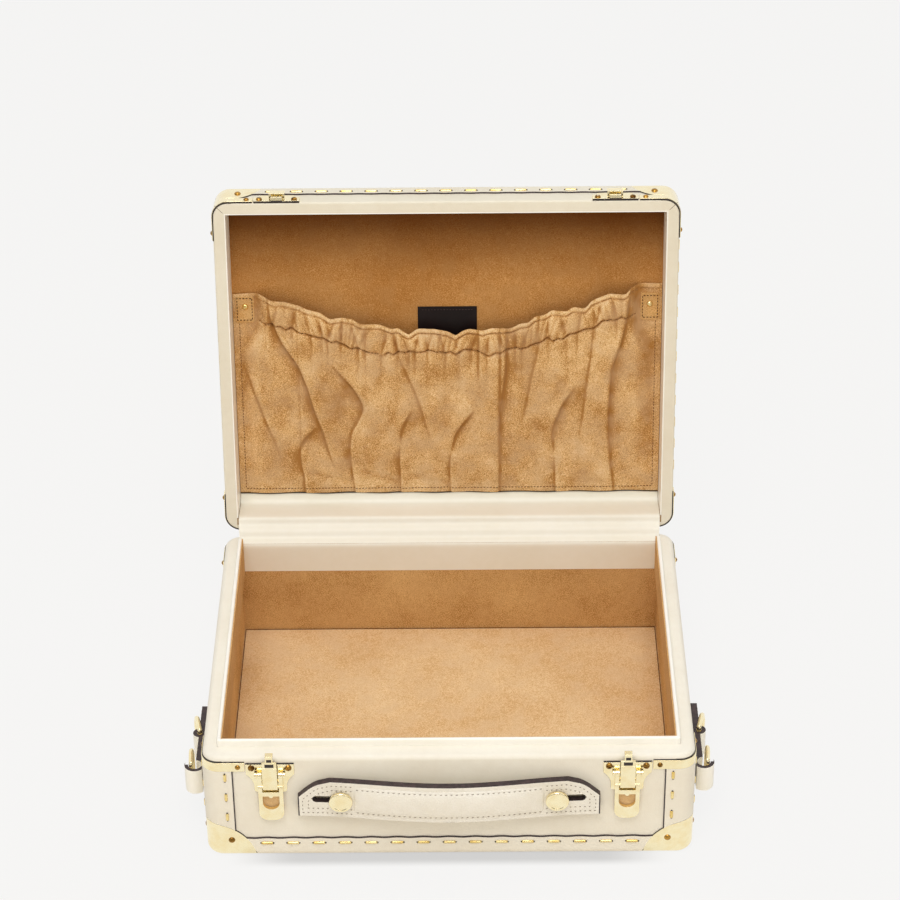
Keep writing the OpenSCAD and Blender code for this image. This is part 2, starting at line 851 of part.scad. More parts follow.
module hinge_leaf(up, first) {
    // Leaf below the axis for up -1, above it for up 1, on every second knuckle
    pitch = hinge_w / knuckles;
    difference() {
        union() {
            translate([-hinge_w / 2, half_d, axis_z + (up > 0 ? leaf_root : -leaf_h)])
                cube([hinge_w, leaf_t, leaf_h - leaf_root]);
            for (k = [first:2:knuckles - 1]) translate([-hinge_w / 2 + k * pitch + knuckle_gap / 2, 0, 0]) {
                translate([0, half_d, axis_z + (up > 0 ? 0 : -leaf_root - 0.5)])
                    cube([pitch - knuckle_gap, leaf_t, leaf_root + 0.5]);
                translate([0, axis_y, axis_z]) rotate([0, 90, 0])
                    cylinder(r = knuckle_r, h = pitch - knuckle_gap);
            }
        }
        translate([-hinge_w, axis_y, axis_z]) rotate([0, 90, 0])
            cylinder(r = hinge_pin_r + pin_play, h = 2 * hinge_w);
    }
}

module at_hinges() {
    for (x = [-hinge_x, hinge_x]) translate([x, 0, 0]) children();
}

module hinge_leaves_body() {
    color(BRASS) at_hinges() hinge_leaf(-1, 0);
}

module hinge_leaves_lid() {
    color(BRASS) opened() at_hinges() hinge_leaf(1, 1);
}

module hinge_pins() {
    color(BRASS) at_hinges() translate([-hinge_w / 2, axis_y, axis_z]) rotate([0, 90, 0])
        cylinder(r = hinge_pin_r, h = hinge_w);
}

leaf_screw_inset = 6;
leaf_screw_d = 4;

module leaf_screws(up) {
    at_hinges() for (side = [-1, 1])
        translate([side * (hinge_w / 2 - leaf_screw_inset), half_d + leaf_t,
                axis_z + up * (leaf_root + leaf_h) / 2])
            rotate([-90, 0, 0]) dome(leaf_screw_d, nail_h * 0.8);
}

module hinge_screws_body() {
    color(BRASS) leaf_screws(-1);
}

module hinge_screws_lid() {
    color(BRASS) opened() leaf_screws(1);
}

side_clear = 0.3;

module hinge_leather_body() {
    // Up the back wall's inside and over its rim
    reach = inner_w / 2 - side_clear;
    top = body_h - cover_t + hinge_leather_t;
    color(PALE_LEATHER) {
        box_between([-reach, inner_back - hinge_leather_t, hinge_leather_low],
            [reach, inner_back, top]);
        box_between([-reach, inner_back, top - hinge_leather_t],
            [reach, inner_back + hinge_leather_lap, top]);
    }
}

module hinge_leather_lid() {
    // Over the shut lid's rim, down its hinge wall and onto its top lining
    reach = lid_inner_w / 2 - lid_leather_t - side_clear;
    inner = lid_inner_back - hinge_leather_t;
    color(PALE_LEATHER) opened() {
        box_between([-reach, inner, lid_z], [reach, lid_inner_back + hinge_leather_lap - 2, lid_z + hinge_leather_t]);
        box_between([-reach, inner, lid_z], [reach, lid_inner_back, lid_z + lid_suede_v]);
        box_between([-reach, half_d - pocket_low + 1, lid_z + lid_suede_v - hinge_leather_t],
            [reach, lid_inner_back, lid_z + lid_suede_v]);
    }
}

lid_rim_r = 1.5;

module lid_block(inset) {
    // The shut lid's outside, or its core when inset by the cover
    as_lid() translate([0, 0, inset])
        slab(case_w - 2 * inset, case_d - 2 * inset, lid_h - 2 * inset,
            corner_r - inset, edge_r - inset, max(0.2, lid_rim_r - inset));
}

module lid_hollow(depth) {
    box_between([-lid_inner_w / 2, lid_inner_front, lid_z - past],
        [lid_inner_w / 2, lid_inner_back, lid_z + depth]);
}

module lid_core() {
    color(BOARD) opened() difference() {
        lid_block(cover_t);
        lid_hollow(lid_board_v);
    }
}

module lid_cover() {
    color(LEATHER) opened() difference() {
        lid_block(0);
        lid_block(cover_t);
        lid_hollow(lid_h / 2);
        // Seat of the hinge leather on the rim
        box_between([-lid_inner_w / 2, lid_inner_back - past, lid_z - past],
            [lid_inner_w / 2, lid_inner_back + hinge_leather_lap - 2, lid_z + cover_t]);
        as_lid() for (x = [-1, 1], y = [-1, 1]) intersection() {
            cap_ball(x, y);
            box_between([-case_w, -case_d, -past], [case_w, case_d, cap_t]);
        }
    }
}

module lid_wall_leather() {
    // Leather on the inside of the lid's front and side walls
    color(PALE_LEATHER) opened() difference() {
        box_between([-lid_inner_w / 2, lid_inner_front, lid_z],
            [lid_inner_w / 2, lid_inner_back - hinge_leather_t - 0.2, lid_z + lid_suede_v]);
        box_between([-lid_inner_w / 2 + lid_leather_t, lid_inner_front + lid_leather_t, lid_z - past],
            [lid_inner_w / 2 - lid_leather_t, lid_inner_back, lid_z + lid_h]);
    }
}

module lid_lining() {
    color(DARK_SUEDE) opened()
        box_between([-lid_inner_w / 2, lid_inner_front, lid_z + lid_suede_v],
            [lid_inner_w / 2, lid_inner_back, lid_z + lid_board_v]);
}

// Trim of the lid, drawn on the mirrored base: a bracket ends near the lid's rim
lid_bracket_high = lid_h - lid_bracket_drop;
lid_bracket_low = lid_bracket_high - bracket_h;

module lid_band() {
    color(LEATHER) opened() as_lid() edge_band();
}

module lid_stitches() {
    color(BRASS) opened() as_lid() stitch_row(stitch_z);
}

module lid_caps() {
    // The caps stop short of the brackets on the shallow lid
    color(BRASS) opened() as_lid() for (x = [-1, 1], y = [-1, 1]) intersection() {
        corner_cap(x, y, lid_h);
        box_between([-case_w, -case_d, -past], [case_w, case_d, lid_bracket_low - 0.3]);
    }
}

module lid_brackets() {
    color(BRASS) opened() as_lid() brackets(lid_h, lid_bracket_low, lid_bracket_high);
}

module lid_nails() {
    color(BRASS) opened() as_lid() nails((lid_bracket_low + lid_bracket_high) / 2);
}

// Keepers: a plate with a low nib that the hook draws down and a hood over it
keeper_h = 12;
keeper_low = lid_z + 1;
nib_out = hook_tip_in + 1.1 + play;
nib_top = hook_top - 1.5 - play;

module keepers() {
    color(BRASS) opened() for (x = [-latch_x, latch_x]) latch_frame(x) {
        difference() {
            translate([-plate_w / 2, keeper_low, 0]) cube([plate_w, keeper_h, plate_t]);
            for (side = [-1, 1]) translate([side * plate_w / 2, keeper_low + keeper_h, -past])
                cylinder(r = 4, h = plate_t + 2 * past);
        }
        // Shelf and nib
        translate([-hook_w / 2 - 1.5, keeper_low, plate_t / 2])
            cube([hook_w + 3, 0.9, nib_out + 0.7 - plate_t / 2]);
        translate([-hook_w / 2 - 1.5, keeper_low, nib_out])
            cube([hook_w + 3, nib_top - keeper_low, 0.7]);
        // Hood
        translate([-5.5, hook_top + play, plate_t / 2])
            cube([11, keeper_low + keeper_h - hook_top - play - 1, 4.4]);
    }
}

module keeper_screws() {
    color(BRASS) opened() for (x = [-latch_x, latch_x], side = [-1, 1])
        on_face(0, x + side * (plate_w / 2 - screw_inset), keeper_low + 3.2, plate_t)
            dome(nail_d * 0.9, nail_h);
}

// Pocket: a gathered suede sheet. s runs across it from -1 to 1, t from its
// lower edge at 0 to its elastic edge at 1
pocket_half_w = lid_inner_w / 2 - 1.2;
pocket_cols = 44;
pocket_rows = 12;
pocket_seat = 0.2;

// Share of a rise that is done at a, eased in and out
function eased(a) = let (b = min(1, max(0, a))) b * b * (3 - 2 * b);
// Elastic edge: level at the two corners, sagging to the middle with small scallops
function pocket_top(s) =
    pocket_high - pocket_sag * (1 - eased((abs(s) - 0.2) / 0.65))
    + 1.2 * sin(360 * 5.5 * s) * (1 - pow(abs(s), 4));
// Height of a pleat at distance d from its crest, in pleat pitches
function pleat(d) = exp(-pow(d / 0.16, 2)) - 0.35 * exp(-pow((d - 0.3) / 0.22, 2));
// The pleat near x, leaning outwards as it rises
function pleats(x, t) = let (bare = x / (1 + 0.10 * t), near = round(bare / pleat_pitch))
    abs(near) > 3 ? 0 : pleat((bare - near * pleat_pitch) / pleat_pitch);
// Flat strips at the two sewn edges, a column of the sheet wider than the corner patches
pocket_pitch = 2 * pocket_half_w / pocket_cols;
function sewn(s) = eased(((1 - abs(s)) * pocket_half_w - patch_inset - patch_w - pocket_pitch) / 11);
function pocket_lift(s, t) =
    let (rise = pow(t, 0.8) * (1 - 0.1 * pow(t, 6)),
         gathers = 1.1 * pow(t, 5) * sin(360 * 5.5 * s),
         folds = 2.6 * pleats(s * pocket_half_w, t) * min(1, 0.25 + 3 * t) * (1 - 0.6 * t))
    max(0, pocket_bulge * rise + gathers + folds) * sewn(s);
function pocket_point(i, j, depth) =
    let (s = 2 * i / pocket_cols - 1,
         t = j / pocket_rows,
         u = pocket_low + (pocket_top(s) - pocket_low) * t)
    [s * pocket_half_w, half_d - u, lid_z + lid_suede_v - pocket_seat - pocket_lift(s, t) - depth];

module pocket() {
    row = pocket_cols + 1;
    sheet = row * (pocket_rows + 1);
    points = concat(
        [for (j = [0:pocket_rows], i = [0:pocket_cols]) pocket_point(i, j, 0)],
        [for (j = [0:pocket_rows], i = [0:pocket_cols]) pocket_point(i, j, pocket_t)]);
    faces = [for (j = [0:pocket_rows - 1], i = [0:pocket_cols - 1])
        each let (a = j * row + i, b = a + 1, c = a + row, d = c + 1, n = sheet)
            [[a, c, b], [b, c, d], [a + n, b + n, c + n], [b + n, d + n, c + n]]];
    low_high = [for (i = [0:pocket_cols - 1], j = [0, pocket_rows])
        each let (a = j * row + i, b = a + 1, n = sheet)
            j == 0 ? [[a, b, b + n], [a, b + n, a + n]] : [[b, a, b + n], [a, a + n, b + n]]];
    sides = [for (j = [0:pocket_rows - 1], i = [0, pocket_cols])
        each let (a = j * row + i, b = a + row, n = sheet)
            i == 0 ? [[b, a, b + n], [a, a + n, b + n]] : [[a, b, b + n], [a, b + n, a + n]]];
    color(SUEDE) opened() polyhedron(points, concat(faces, low_high, sides));
}

// Patch with a rivet near each top corner of the pocket, flat on its sewn strip
patch_w = 10.6;
patch_h = 17.6;
patch_t = 1;
patch_inset = 3.6;
patch_drop = 2.5;
patch_under = pocket_seat + pocket_t;

module pocket_tabs() {
    color(SUEDE) opened() for (hand = [0, 1]) mirror([hand, 0, 0])
        translate([pocket_half_w - patch_inset - patch_w, half_d - pocket_high + patch_drop,
                lid_z + lid_suede_v - patch_under - patch_t])
            cube([patch_w, patch_h, patch_t]);
}

module pocket_rivets() {
    color(BRASS) opened() for (hand = [-1, 1])
        translate([hand * (pocket_half_w - patch_inset - patch_w / 2),
                half_d - pocket_high + patch_drop + patch_h / 2,
                lid_z + lid_suede_v - patch_under - patch_t])
            rotate([180, 0, 0]) dome(nail_d, nail_h);
}

label_t = 0.8;
label_high = 165;

module label() {
    color(LABEL_LEATHER) opened()
        box_between([-label_w / 2, half_d - label_high, lid_z + lid_suede_v - label_t],
            [label_w / 2, half_d - label_high + label_h, lid_z + lid_suede_v]);
}

body_core();
body_cover();
body_lip();
collar_lining();
floor_lining();
wall_lining();
base_band();
corner_bands();
body_stitches();
base_cap(-1, -1);  // base_cap_front_left
base_cap(1, -1);  // base_cap_front_right
base_cap(-1, 1);  // base_cap_back_left
base_cap(1, 1);  // base_cap_back_right
rim_brackets();
body_nails();
handle_strap();
handle_grip();
handle_knob(-knob_x);  // handle_knob_left
handle_knob(knob_x);  // handle_knob_right
handle_nuts();
latch_plate(-latch_x);  // latch_plate_left
latch_plate(latch_x);  // latch_plate_right
latch_pivot_pins();
latch_lever(-latch_x);  // latch_lever_left
latch_lever(latch_x);  // latch_lever_right
latch_tongue(-latch_x);  // latch_tongue_left
latch_tongue(latch_x);  // latch_tongue_right
tongue_pin(-latch_x);  // tongue_pin_left
tongue_pin(latch_x);  // tongue_pin_right
latch_screws();
side_pads();
side_strap(-1);  // side_strap_left
side_strap(1);  // side_strap_right
ring(-1, rear_bar_out, rear_bar_y, rear_lean);  // ring_left_rear
ring(-1, front_bar_out, front_bar_y, front_lean);  // ring_left_front
ring(1, rear_bar_out, rear_bar_y, rear_lean);  // ring_right_rear
ring(1, front_bar_out, front_bar_y, front_lean);  // ring_right_front
hinge_leaves_body();
hinge_pins();
hinge_screws_body();
hinge_leather_body();
lid_core();
lid_cover();
lid_wall_leather();
lid_lining();
lid_band();
lid_stitches();
lid_caps();
lid_brackets();
lid_nails();
keepers();
keeper_screws();
pocket();
pocket_tabs();
pocket_rivets();
label();
hinge_leather_lid();
hinge_leaves_lid();
hinge_screws_lid();
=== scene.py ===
"""A small hard suitcase in cream leather over board, standing open, with pale gold brass fittings.

The case stands on the floor with its front towards -Y, and the lid leans back on its hinge. Sizes are in
millimetres and become metres when a mesh is made. Every object sits at the origin with its place in its
mesh.
"""
import json
import logging
import math
from collections.abc import Callable
from dataclasses import dataclass, field
from enum import Enum
from functools import partial

import bmesh
import bpy
import numpy as np
from mathutils import Matrix, Vector

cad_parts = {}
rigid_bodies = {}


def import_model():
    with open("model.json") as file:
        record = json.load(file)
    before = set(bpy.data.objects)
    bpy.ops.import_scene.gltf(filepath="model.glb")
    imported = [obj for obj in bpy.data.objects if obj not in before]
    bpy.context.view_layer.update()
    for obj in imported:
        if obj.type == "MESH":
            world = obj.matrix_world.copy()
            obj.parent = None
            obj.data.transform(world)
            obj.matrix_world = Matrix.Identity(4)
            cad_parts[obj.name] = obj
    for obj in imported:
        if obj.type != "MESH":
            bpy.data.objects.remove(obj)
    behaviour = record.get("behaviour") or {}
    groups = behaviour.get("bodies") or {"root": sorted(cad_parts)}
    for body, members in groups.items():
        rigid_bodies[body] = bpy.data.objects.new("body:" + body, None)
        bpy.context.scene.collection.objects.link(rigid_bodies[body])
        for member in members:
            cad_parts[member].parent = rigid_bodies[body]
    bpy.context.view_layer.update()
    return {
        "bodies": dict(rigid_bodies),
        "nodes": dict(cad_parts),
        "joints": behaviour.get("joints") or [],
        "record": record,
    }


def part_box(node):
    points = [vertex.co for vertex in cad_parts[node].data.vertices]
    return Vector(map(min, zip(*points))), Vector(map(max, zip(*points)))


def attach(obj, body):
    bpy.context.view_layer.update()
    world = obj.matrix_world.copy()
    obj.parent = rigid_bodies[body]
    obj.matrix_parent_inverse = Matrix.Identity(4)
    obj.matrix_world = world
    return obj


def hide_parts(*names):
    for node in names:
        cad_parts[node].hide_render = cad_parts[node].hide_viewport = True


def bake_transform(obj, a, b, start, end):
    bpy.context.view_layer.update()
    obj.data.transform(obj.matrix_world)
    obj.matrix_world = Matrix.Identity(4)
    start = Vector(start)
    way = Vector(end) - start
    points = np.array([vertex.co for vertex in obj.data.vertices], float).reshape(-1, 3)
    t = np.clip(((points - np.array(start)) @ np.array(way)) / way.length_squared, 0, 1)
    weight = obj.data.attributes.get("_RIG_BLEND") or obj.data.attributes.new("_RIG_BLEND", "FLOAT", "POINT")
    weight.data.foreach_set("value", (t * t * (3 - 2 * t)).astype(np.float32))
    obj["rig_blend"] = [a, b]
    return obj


Array = np.ndarray
Piece = bpy.types.Object
Socket = bpy.types.NodeSocket
LOG = logging.getLogger("suitcase")
MM = 0.001


class Slot(Enum):
    """Material slots of the record."""

    CREAM = "cream_leather"
    PALE = "pale_leather"
    SUEDE = "suede"
    DARK = "dark_leather"
    BOARD = "board"
    BRASS = "gold_brass"


class Side(Enum):
    """Hand of a piece that comes in pairs."""

    LEFT = -1
    RIGHT = 1

    @property
    def word(self) -> str:
        """Name of the side, as the nodes are named."""
        return self.name.lower()


# Shared maths


def eased(share: Array) -> Array:
    """Eases a rise from 0 to 1: three times the square less twice the cube of the clipped share."""
    share = np.clip(share, 0.0, 1.0)
    return share * share * (3.0 - 2.0 * share)


def hump(distance: Array, width: float) -> Array:
    """Bell curve: e to the power of minus the square of distance over width."""
    return np.exp(-((distance / width) ** 2))


def unit(vectors: Array) -> Array:
    """Scales vectors on the last axis to length 1."""
    return vectors / np.maximum(np.linalg.norm(vectors, axis=-1, keepdims=True), 1e-12)


def in_mm(box: tuple) -> tuple[Array, Array]:
    """Both corners of one of the frame's boxes in millimetres."""
    return np.array(box[0]) / MM, np.array(box[1]) / MM


def linear(code: str) -> tuple[float, float, float, float]:
    """Turns an sRGB hex colour into linear light.

    Args:
        code: colour as "#RRGGBB".

    Returns:
        Red, green, blue and an alpha of 1.
    """
    parts = [int(code[i:i + 2], 16) / 255 for i in (1, 3, 5)]
    red, green, blue = [c / 12.92 if c <= 0.04045 else ((c + 0.055) / 1.055) ** 2.4 for c in parts]
    return red, green, blue, 1.0


def linked(name: str, data: bpy.types.ID) -> Piece:
    """Puts a mesh, a lamp or a camera in the scene.

    Args:
        name: name of the object.
        data: what it shows.

    Returns:
        The object.
    """
    obj = bpy.data.objects.new(name, data)
    bpy.context.scene.collection.objects.link(obj)
    return obj


# Finishes


class Shader:
    """The shader nodes of one material or of the world, added and wired one at a time."""

    def __init__(self, name: str, world: bool = False) -> None:
        """Starts an empty material, or an empty world.

        Args:
            name: its name.
            world: whether it is a world.
        """
        self.owner = (bpy.data.worlds if world else bpy.data.materials).new(name)
        self.owner.use_nodes = True
        self.tree = self.owner.node_tree
        self.tree.nodes.clear()
        self.place = self.add("TexCoord", out="Object")

    def add(self, kind: str, *inputs: object, out: int | str = 0, stops: tuple = (),
            **settings: object) -> Socket | None:
        """Adds one node with its settings and links.

        Args:
            kind: type name of the node, after "ShaderNode".
            *inputs: values, or outputs that feed the sockets, in order; or one dict from sockets to these.
            out: name or number of the output to give.
            stops: position and hex colour of each stop of a ramp.
            **settings: the node's own properties.

        Returns:
            That output, where the node has any.
        """
        node = self.tree.nodes.new("ShaderNode" + kind)
        for key, value in settings.items():
            setattr(node, key, value)
        named = inputs[0] if inputs and isinstance(inputs[0], dict) else dict(enumerate(inputs))
        for key, value in named.items():
            if isinstance(value, Socket):
                self.tree.links.new(value, node.inputs[key])
            else:
                node.inputs[key].default_value = value
        for number, (position, code) in enumerate(stops):
            if number > 1:
                node.color_ramp.elements.new(position)
            node.color_ramp.elements[number].position = position
            node.color_ramp.elements[number].color = linear(code)
        return node.outputs[out] if node.outputs else None

    def sized(self, size_mm: float, detail: float = 2.0) -> dict:
        """Inputs of a cloudy pattern whose clouds have a real size."""
        return {"Vector": self.place, "Scale": 1000 / size_mm, "Detail": detail}

    def finish(self, inputs: dict) -> bpy.types.Material:
        """Closes the material with one Principled shader.

        Args:
            inputs: the shader's sockets.

        Returns:
            The finished material.
        """
        self.add("OutputMaterial", {"Surface": self.add("BsdfPrincipled", inputs)})
        return self.owner


@dataclass(frozen=True)
class GrainedLeather:
    """Full-grain leather: soft tone changes, fine pebbles and a low satin shine."""

    name: str
    light: str
    shade: str
    grain_mm: float = 1.3
    relief_mm: float = 0.09
    roughness: float = 0.46
    gloss: float = 0.42

    def make(self) -> bpy.types.Material:
        """Pebbles are cells whose walls are creases; the tone drifts over about 45 mm.

        Returns:
            The material.
        """
        s = Shader(self.name)
        broad = s.add("Math", s.add("TexNoise", s.sized(46)), 0.7, operation="MULTIPLY")
        close = s.add("Math", s.add("TexNoise", s.sized(5)), 0.3, operation="MULTIPLY")
        tone = s.add("Math", broad, close, operation="ADD")
        pull = s.add("MapRange", {0: s.add("TexNoise", s.sized(2.2, 1)), 3: -0.00035, 4: 0.00035})
        moved = s.add("VectorMath", s.place, pull, operation="ADD")
        cells = s.add("TexVoronoi", {"Vector": moved, "Scale": 1000 / self.grain_mm},
                      feature="DISTANCE_TO_EDGE")
        pebbles = s.add("MapRange", {0: cells, 2: 0.22}, interpolation_type="SMOOTHSTEP")
        crease = s.add("Math", pebbles, 0.8, operation="SUBTRACT")
        creased = s.add("Math", tone, s.add("Math", crease, 0.06, operation="MULTIPLY"), operation="ADD")
        shine = s.add("MapRange", {0: s.add("TexNoise", s.sized(9)), 3: self.roughness - 0.06,
                                   4: self.roughness + 0.08})
        return s.finish({
            "Base Color": s.add("ValToRGB", creased, stops=((0.3, self.shade), (0.62, self.light))),
            "Roughness": shine,
            "Specular IOR Level": self.gloss,
            "Normal": s.add("Bump", {"Height": pebbles, "Distance": self.relief_mm * MM, "Strength": 0.55}),
        })


@dataclass(frozen=True)
class Suede:
    """Napped suede: fine speckle, clouds and strokes of raised nap, dusty patches and a velvety edge."""

    name: str
    dark: str
    middle: str
    light: str
    dusty: str
    cloud_mm: float = 26.0
    sheen: float = 0.2
    brushed: bool = False
    shaded: bool = False

    def make(self) -> bpy.types.Material:
        """Clouds, strokes and fibres pick the tone, and on the pocket the nap attribute adds painted light and
        shade.

        Where it is shaded, a painted shadow deepens the tone from 265 to 320 mm over the floor, towards the
        lid's far wall.
        Fibres of 0.65 mm are drawn coarser than real ones, so that they show.

        Returns:
            The material.
        """
        s = Shader(self.name)
        fibres = s.add("TexNoise", s.sized(0.65))
        clouds = s.add("Math", s.add("TexNoise", s.sized(self.cloud_mm)), 0.54, operation="MULTIPLY")
        strokes = s.add("Math", s.add("TexNoise", s.sized(6.5)), 0.2, operation="MULTIPLY")
        speckle = s.add("Math", fibres, 0.5, operation="SUBTRACT")
        speckle = s.add("Math", s.add("Math", speckle, 1.25, operation="MULTIPLY"), 0.13, operation="ADD")
        tone = s.add("Math", s.add("Math", clouds, strokes, operation="ADD"), speckle, operation="ADD")
        if self.brushed:
            # The pocket's nap attribute holds painted light and shade from its slopes, creases and folds
            tone = s.add("Math", tone, s.add("Attribute", attribute_name="nap", out="Fac"), operation="ADD")
        colour = s.add("ValToRGB", tone, stops=((0.28, self.dark), (0.5, self.middle), (0.72, self.light)))
        tufts = s.add("Math", s.add("TexNoise", s.sized(3.5)), 0.5, operation="MULTIPLY")
        nap = s.add("Math", fibres, tufts, operation="ADD")
        dust = s.add("MapRange", {0: s.add("TexNoise", s.sized(15)), 1: 0.42, 2: 0.68, 4: 0.5})
        mixed = s.add("Mix", {0: dust, 6: colour, 7: linear(self.dusty)}, data_type="RGBA", out=2)
        if self.shaded:
            # Painted shadow: the tone mixes towards dark brown higher up the lid, near its far wall
            climb = s.add("SeparateXYZ", s.place, out="Z")
            deep = s.add("MapRange", {0: climb, 1: 0.265, 2: 0.320, 4: 0.93})
            mixed = s.add("Mix", {0: deep, 6: mixed, 7: linear("#552704")}, data_type="RGBA", out=2)
        return s.finish({
            "Base Color": mixed,
            "Roughness": 0.95,
            "Specular IOR Level": 0.1,
            "Sheen Weight": self.sheen,
            "Sheen Roughness": 0.5,
            "Sheen Tint": linear(self.light),
            "Normal": s.add("Bump", {"Height": nap, "Distance": 0.26 * MM, "Strength": 0.6}),
        })


@dataclass(frozen=True)
class EdgePaint:
    """Painted leather edge: dark brown, slightly glossy, a little uneven."""

    name: str
    colour: str
    worn: str

    def make(self) -> bpy.types.Material:
        """The paint thins in spots of about 3 mm.

        Returns:
            The material.
        """
        s = Shader(self.name)
        spots = s.add("TexNoise", s.sized(3.2, 3))
        shine = s.add("MapRange", {0: spots, 3: 0.34, 4: 0.55})
        relief = s.add("TexNoise", s.sized(1.1))
        return s.finish({
            "Base Color": s.add("ValToRGB", spots, stops=((0.4, self.colour), (0.75, self.worn))),
            "Roughness": shine,
            "Normal": s.add("Bump", {"Height": relief, "Distance": 0.06 * MM, "Strength": 0.5}),
        })


@dataclass(frozen=True)
class PlatedBrass:
    """Polished brass with pale gold plating: bright, slightly clouded by handling."""

    name: str
    colour: str
    deep: str
    roughness: float = 0.14

    def make(self) -> bpy.types.Material:
        """Handling clouds of about 7 mm dull the shine a little.

        Returns:
            The material.
        """
        s = Shader(self.name)
        clouds = s.add("TexNoise", s.sized(7, 3))
        shine = s.add("MapRange", clouds, 0.3, 0.75, self.roughness - 0.02, self.roughness + 0.05)
        relief = s.add("TexNoise", s.sized(2.4))
        return s.finish({
            "Base Color": s.add("ValToRGB", clouds, stops=((0.35, self.deep), (0.6, self.colour))),
            "Metallic": 1.0,
            "Roughness": shine,
            "Normal": s.add("Bump", {"Height": relief, "Distance": 0.008 * MM, "Strength": 0.25}),
        })


@dataclass(frozen=True)
class Thread:
    """Waxed sewing thread: round, matt, its colour uneven from stitch to stitch."""

    name: str
    colour: str
    shade: str

    def make(self) -> bpy.types.Material:
        """Tone changes over about a stitch's length.

        Returns:
            The material.
        """
        s = Shader(self.name)
        tone = s.add("TexNoise", s.sized(1.6, 1))
        return s.finish({
            "Base Color": s.add("ValToRGB", tone, stops=((0.35, self.shade), (0.65, self.colour))),
            "Roughness": 0.7,
            "Specular IOR Level": 0.3,
        })


@dataclass(frozen=True)
class GreyBoard:
    """Pressed board under the leather: pale brown, fibrous, dull."""

    name: str
    colour: str
    shade: str

    def make(self) -> bpy.types.Material:
        """Short fibres of about 1.5 mm.

        Returns:
            The material.
        """
        s = Shader(self.name)
        fibres = s.add("TexNoise", s.sized(1.5, 4) | {"Distortion": 0.8})
        return s.finish({
            "Base Color": s.add("ValToRGB", fibres, stops=((0.35, self.shade), (0.65, self.colour))),
            "Roughness": 0.9,
            "Normal": s.add("Bump", {"Height": fibres, "Distance": 0.1 * MM, "Strength": 0.6}),
        })


@dataclass
class Finishes:
    """Every finish of the case, each made once."""

    # Outside leather: cream, grained, the largest surface
    cream: GrainedLeather = GrainedLeather("cream grained leather", "#F2EDE0", "#EDE6D7")
    # The lid's leather, a shade deeper than the body's
    lid_cream: GrainedLeather = GrainedLeather("lid grained leather", "#ECE5D3", "#E6DDC8")
    # Trim leather: paler and smoother, on lip, straps and hinge strip
    pale: GrainedLeather = GrainedLeather("pale smooth leather", "#FFFDF6", "#FCF9EE", 0.9, 0.04, 0.4)
    hinge: GrainedLeather = GrainedLeather("hinge leather", "#F6F2E5", "#F2EDDD", 0.9, 0.04, 0.42)
    # Handle leather: the same hide with its pebbles plain to see
    handle: GrainedLeather = GrainedLeather("pebbled handle leather", "#F5F1E8", "#EEE8DB", 1.6, 0.3, 0.42)
    # Pocket suede: light tan in clouds, with painted light and shade from its folds, and the patches sewn on
    # it
    pocket: Suede = Suede("light tan suede", "#AA7840", "#DAAC70", "#F2D2A2", "#D0AE86", 24.0, 0.2, True)
    patch: Suede = Suede("light tan patch suede", "#B7854A", "#D6A768", "#E6BF86", "#CFAA78", 24.0, 0.2)
    # Lining suede of the lid: a deeper tan in broad clouds, with a painted shadow near its far wall
    lining: Suede = Suede("tan lining suede", "#A46E35", "#B98247", "#CF9C60", "#B4834E", 60.0, 0.12,
                          False, True)
    # Lining suede of the body: its walls, its floor, the lightest of all, and the strip inside the lip
    walls: Suede = Suede("tan wall suede", "#A97B43", "#D0A46B", "#E4BE84", "#CEA36D", 60.0, 0.12)
    floor: Suede = Suede("floor suede", "#D0A26B", "#E5C190", "#F2D4A7", "#E2C298", 60.0, 0.16)
    collar: Suede = Suede("collar suede", "#BD8F58", "#D0A56F", "#DDB682", "#CBA577", 40.0, 0.16)
    # Painted edges of the leather
    edge: EdgePaint = EdgePaint("dark painted edge", "#2C1F22", "#4A383A")
    # Painted shadow: dark strips and marks in the gaps beside the brass, in prong holes and windows, and under
    # the hem
    gap: EdgePaint = EdgePaint("dark gap", "#1E1512", "#3A2A20")
    # Plated fittings, the yellower dashes, and heads whose darker colour is a painted dark reflection
    brass: PlatedBrass = PlatedBrass("pale gold plated brass", "#FFF2C8", "#FBE9B8")
    dash: PlatedBrass = PlatedBrass("gold dashes", "#FBE6A8", "#ECCB7C", 0.2)
    # Painted reflection: the heads' base colour is darkened to stand for the dark studio their domes mirror
    heads: PlatedBrass = PlatedBrass("burnished brass heads", "#BE9044", "#583814", 0.07)
    # Label leather: nearly black, close-grained
    label: GrainedLeather = GrainedLeather("dark brown leather", "#1A0E0D", "#100807", 1.0, 0.05, 0.5, 0.22)
    brown_thread: Thread = Thread("brown thread", "#7A4718", "#5C3410")
    patch_thread: Thread = Thread("deep brown thread", "#5E3614", "#44260D")
    tan_thread: Thread = Thread("tan thread", "#C4945C", "#AC7D4A")
    cream_thread: Thread = Thread("cream thread", "#CFC3AD", "#AFA18B")
    # Painted shade: a darker copy of the cream thread, for the handle's seams and the lid's mitres
    seam_thread: Thread = Thread("shaded cream thread", "#94866F", "#72665A")
    dark_thread: Thread = Thread("dark thread", "#4A3838", "#372829")
    board: GreyBoard = GreyBoard("pressed board", "#B9986E", "#A2825B")
    made: dict = field(default_factory=dict)

    def __getitem__(self, key: str) -> bpy.types.Material:
        """Material of one finish, made at its first use.

        Args:
            key: field name of the finish.

        Returns:
            The material.
        """
        if key not in self.made:
            self.made[key] = getattr(self, key).make()
        return self.made[key]


# Meshes


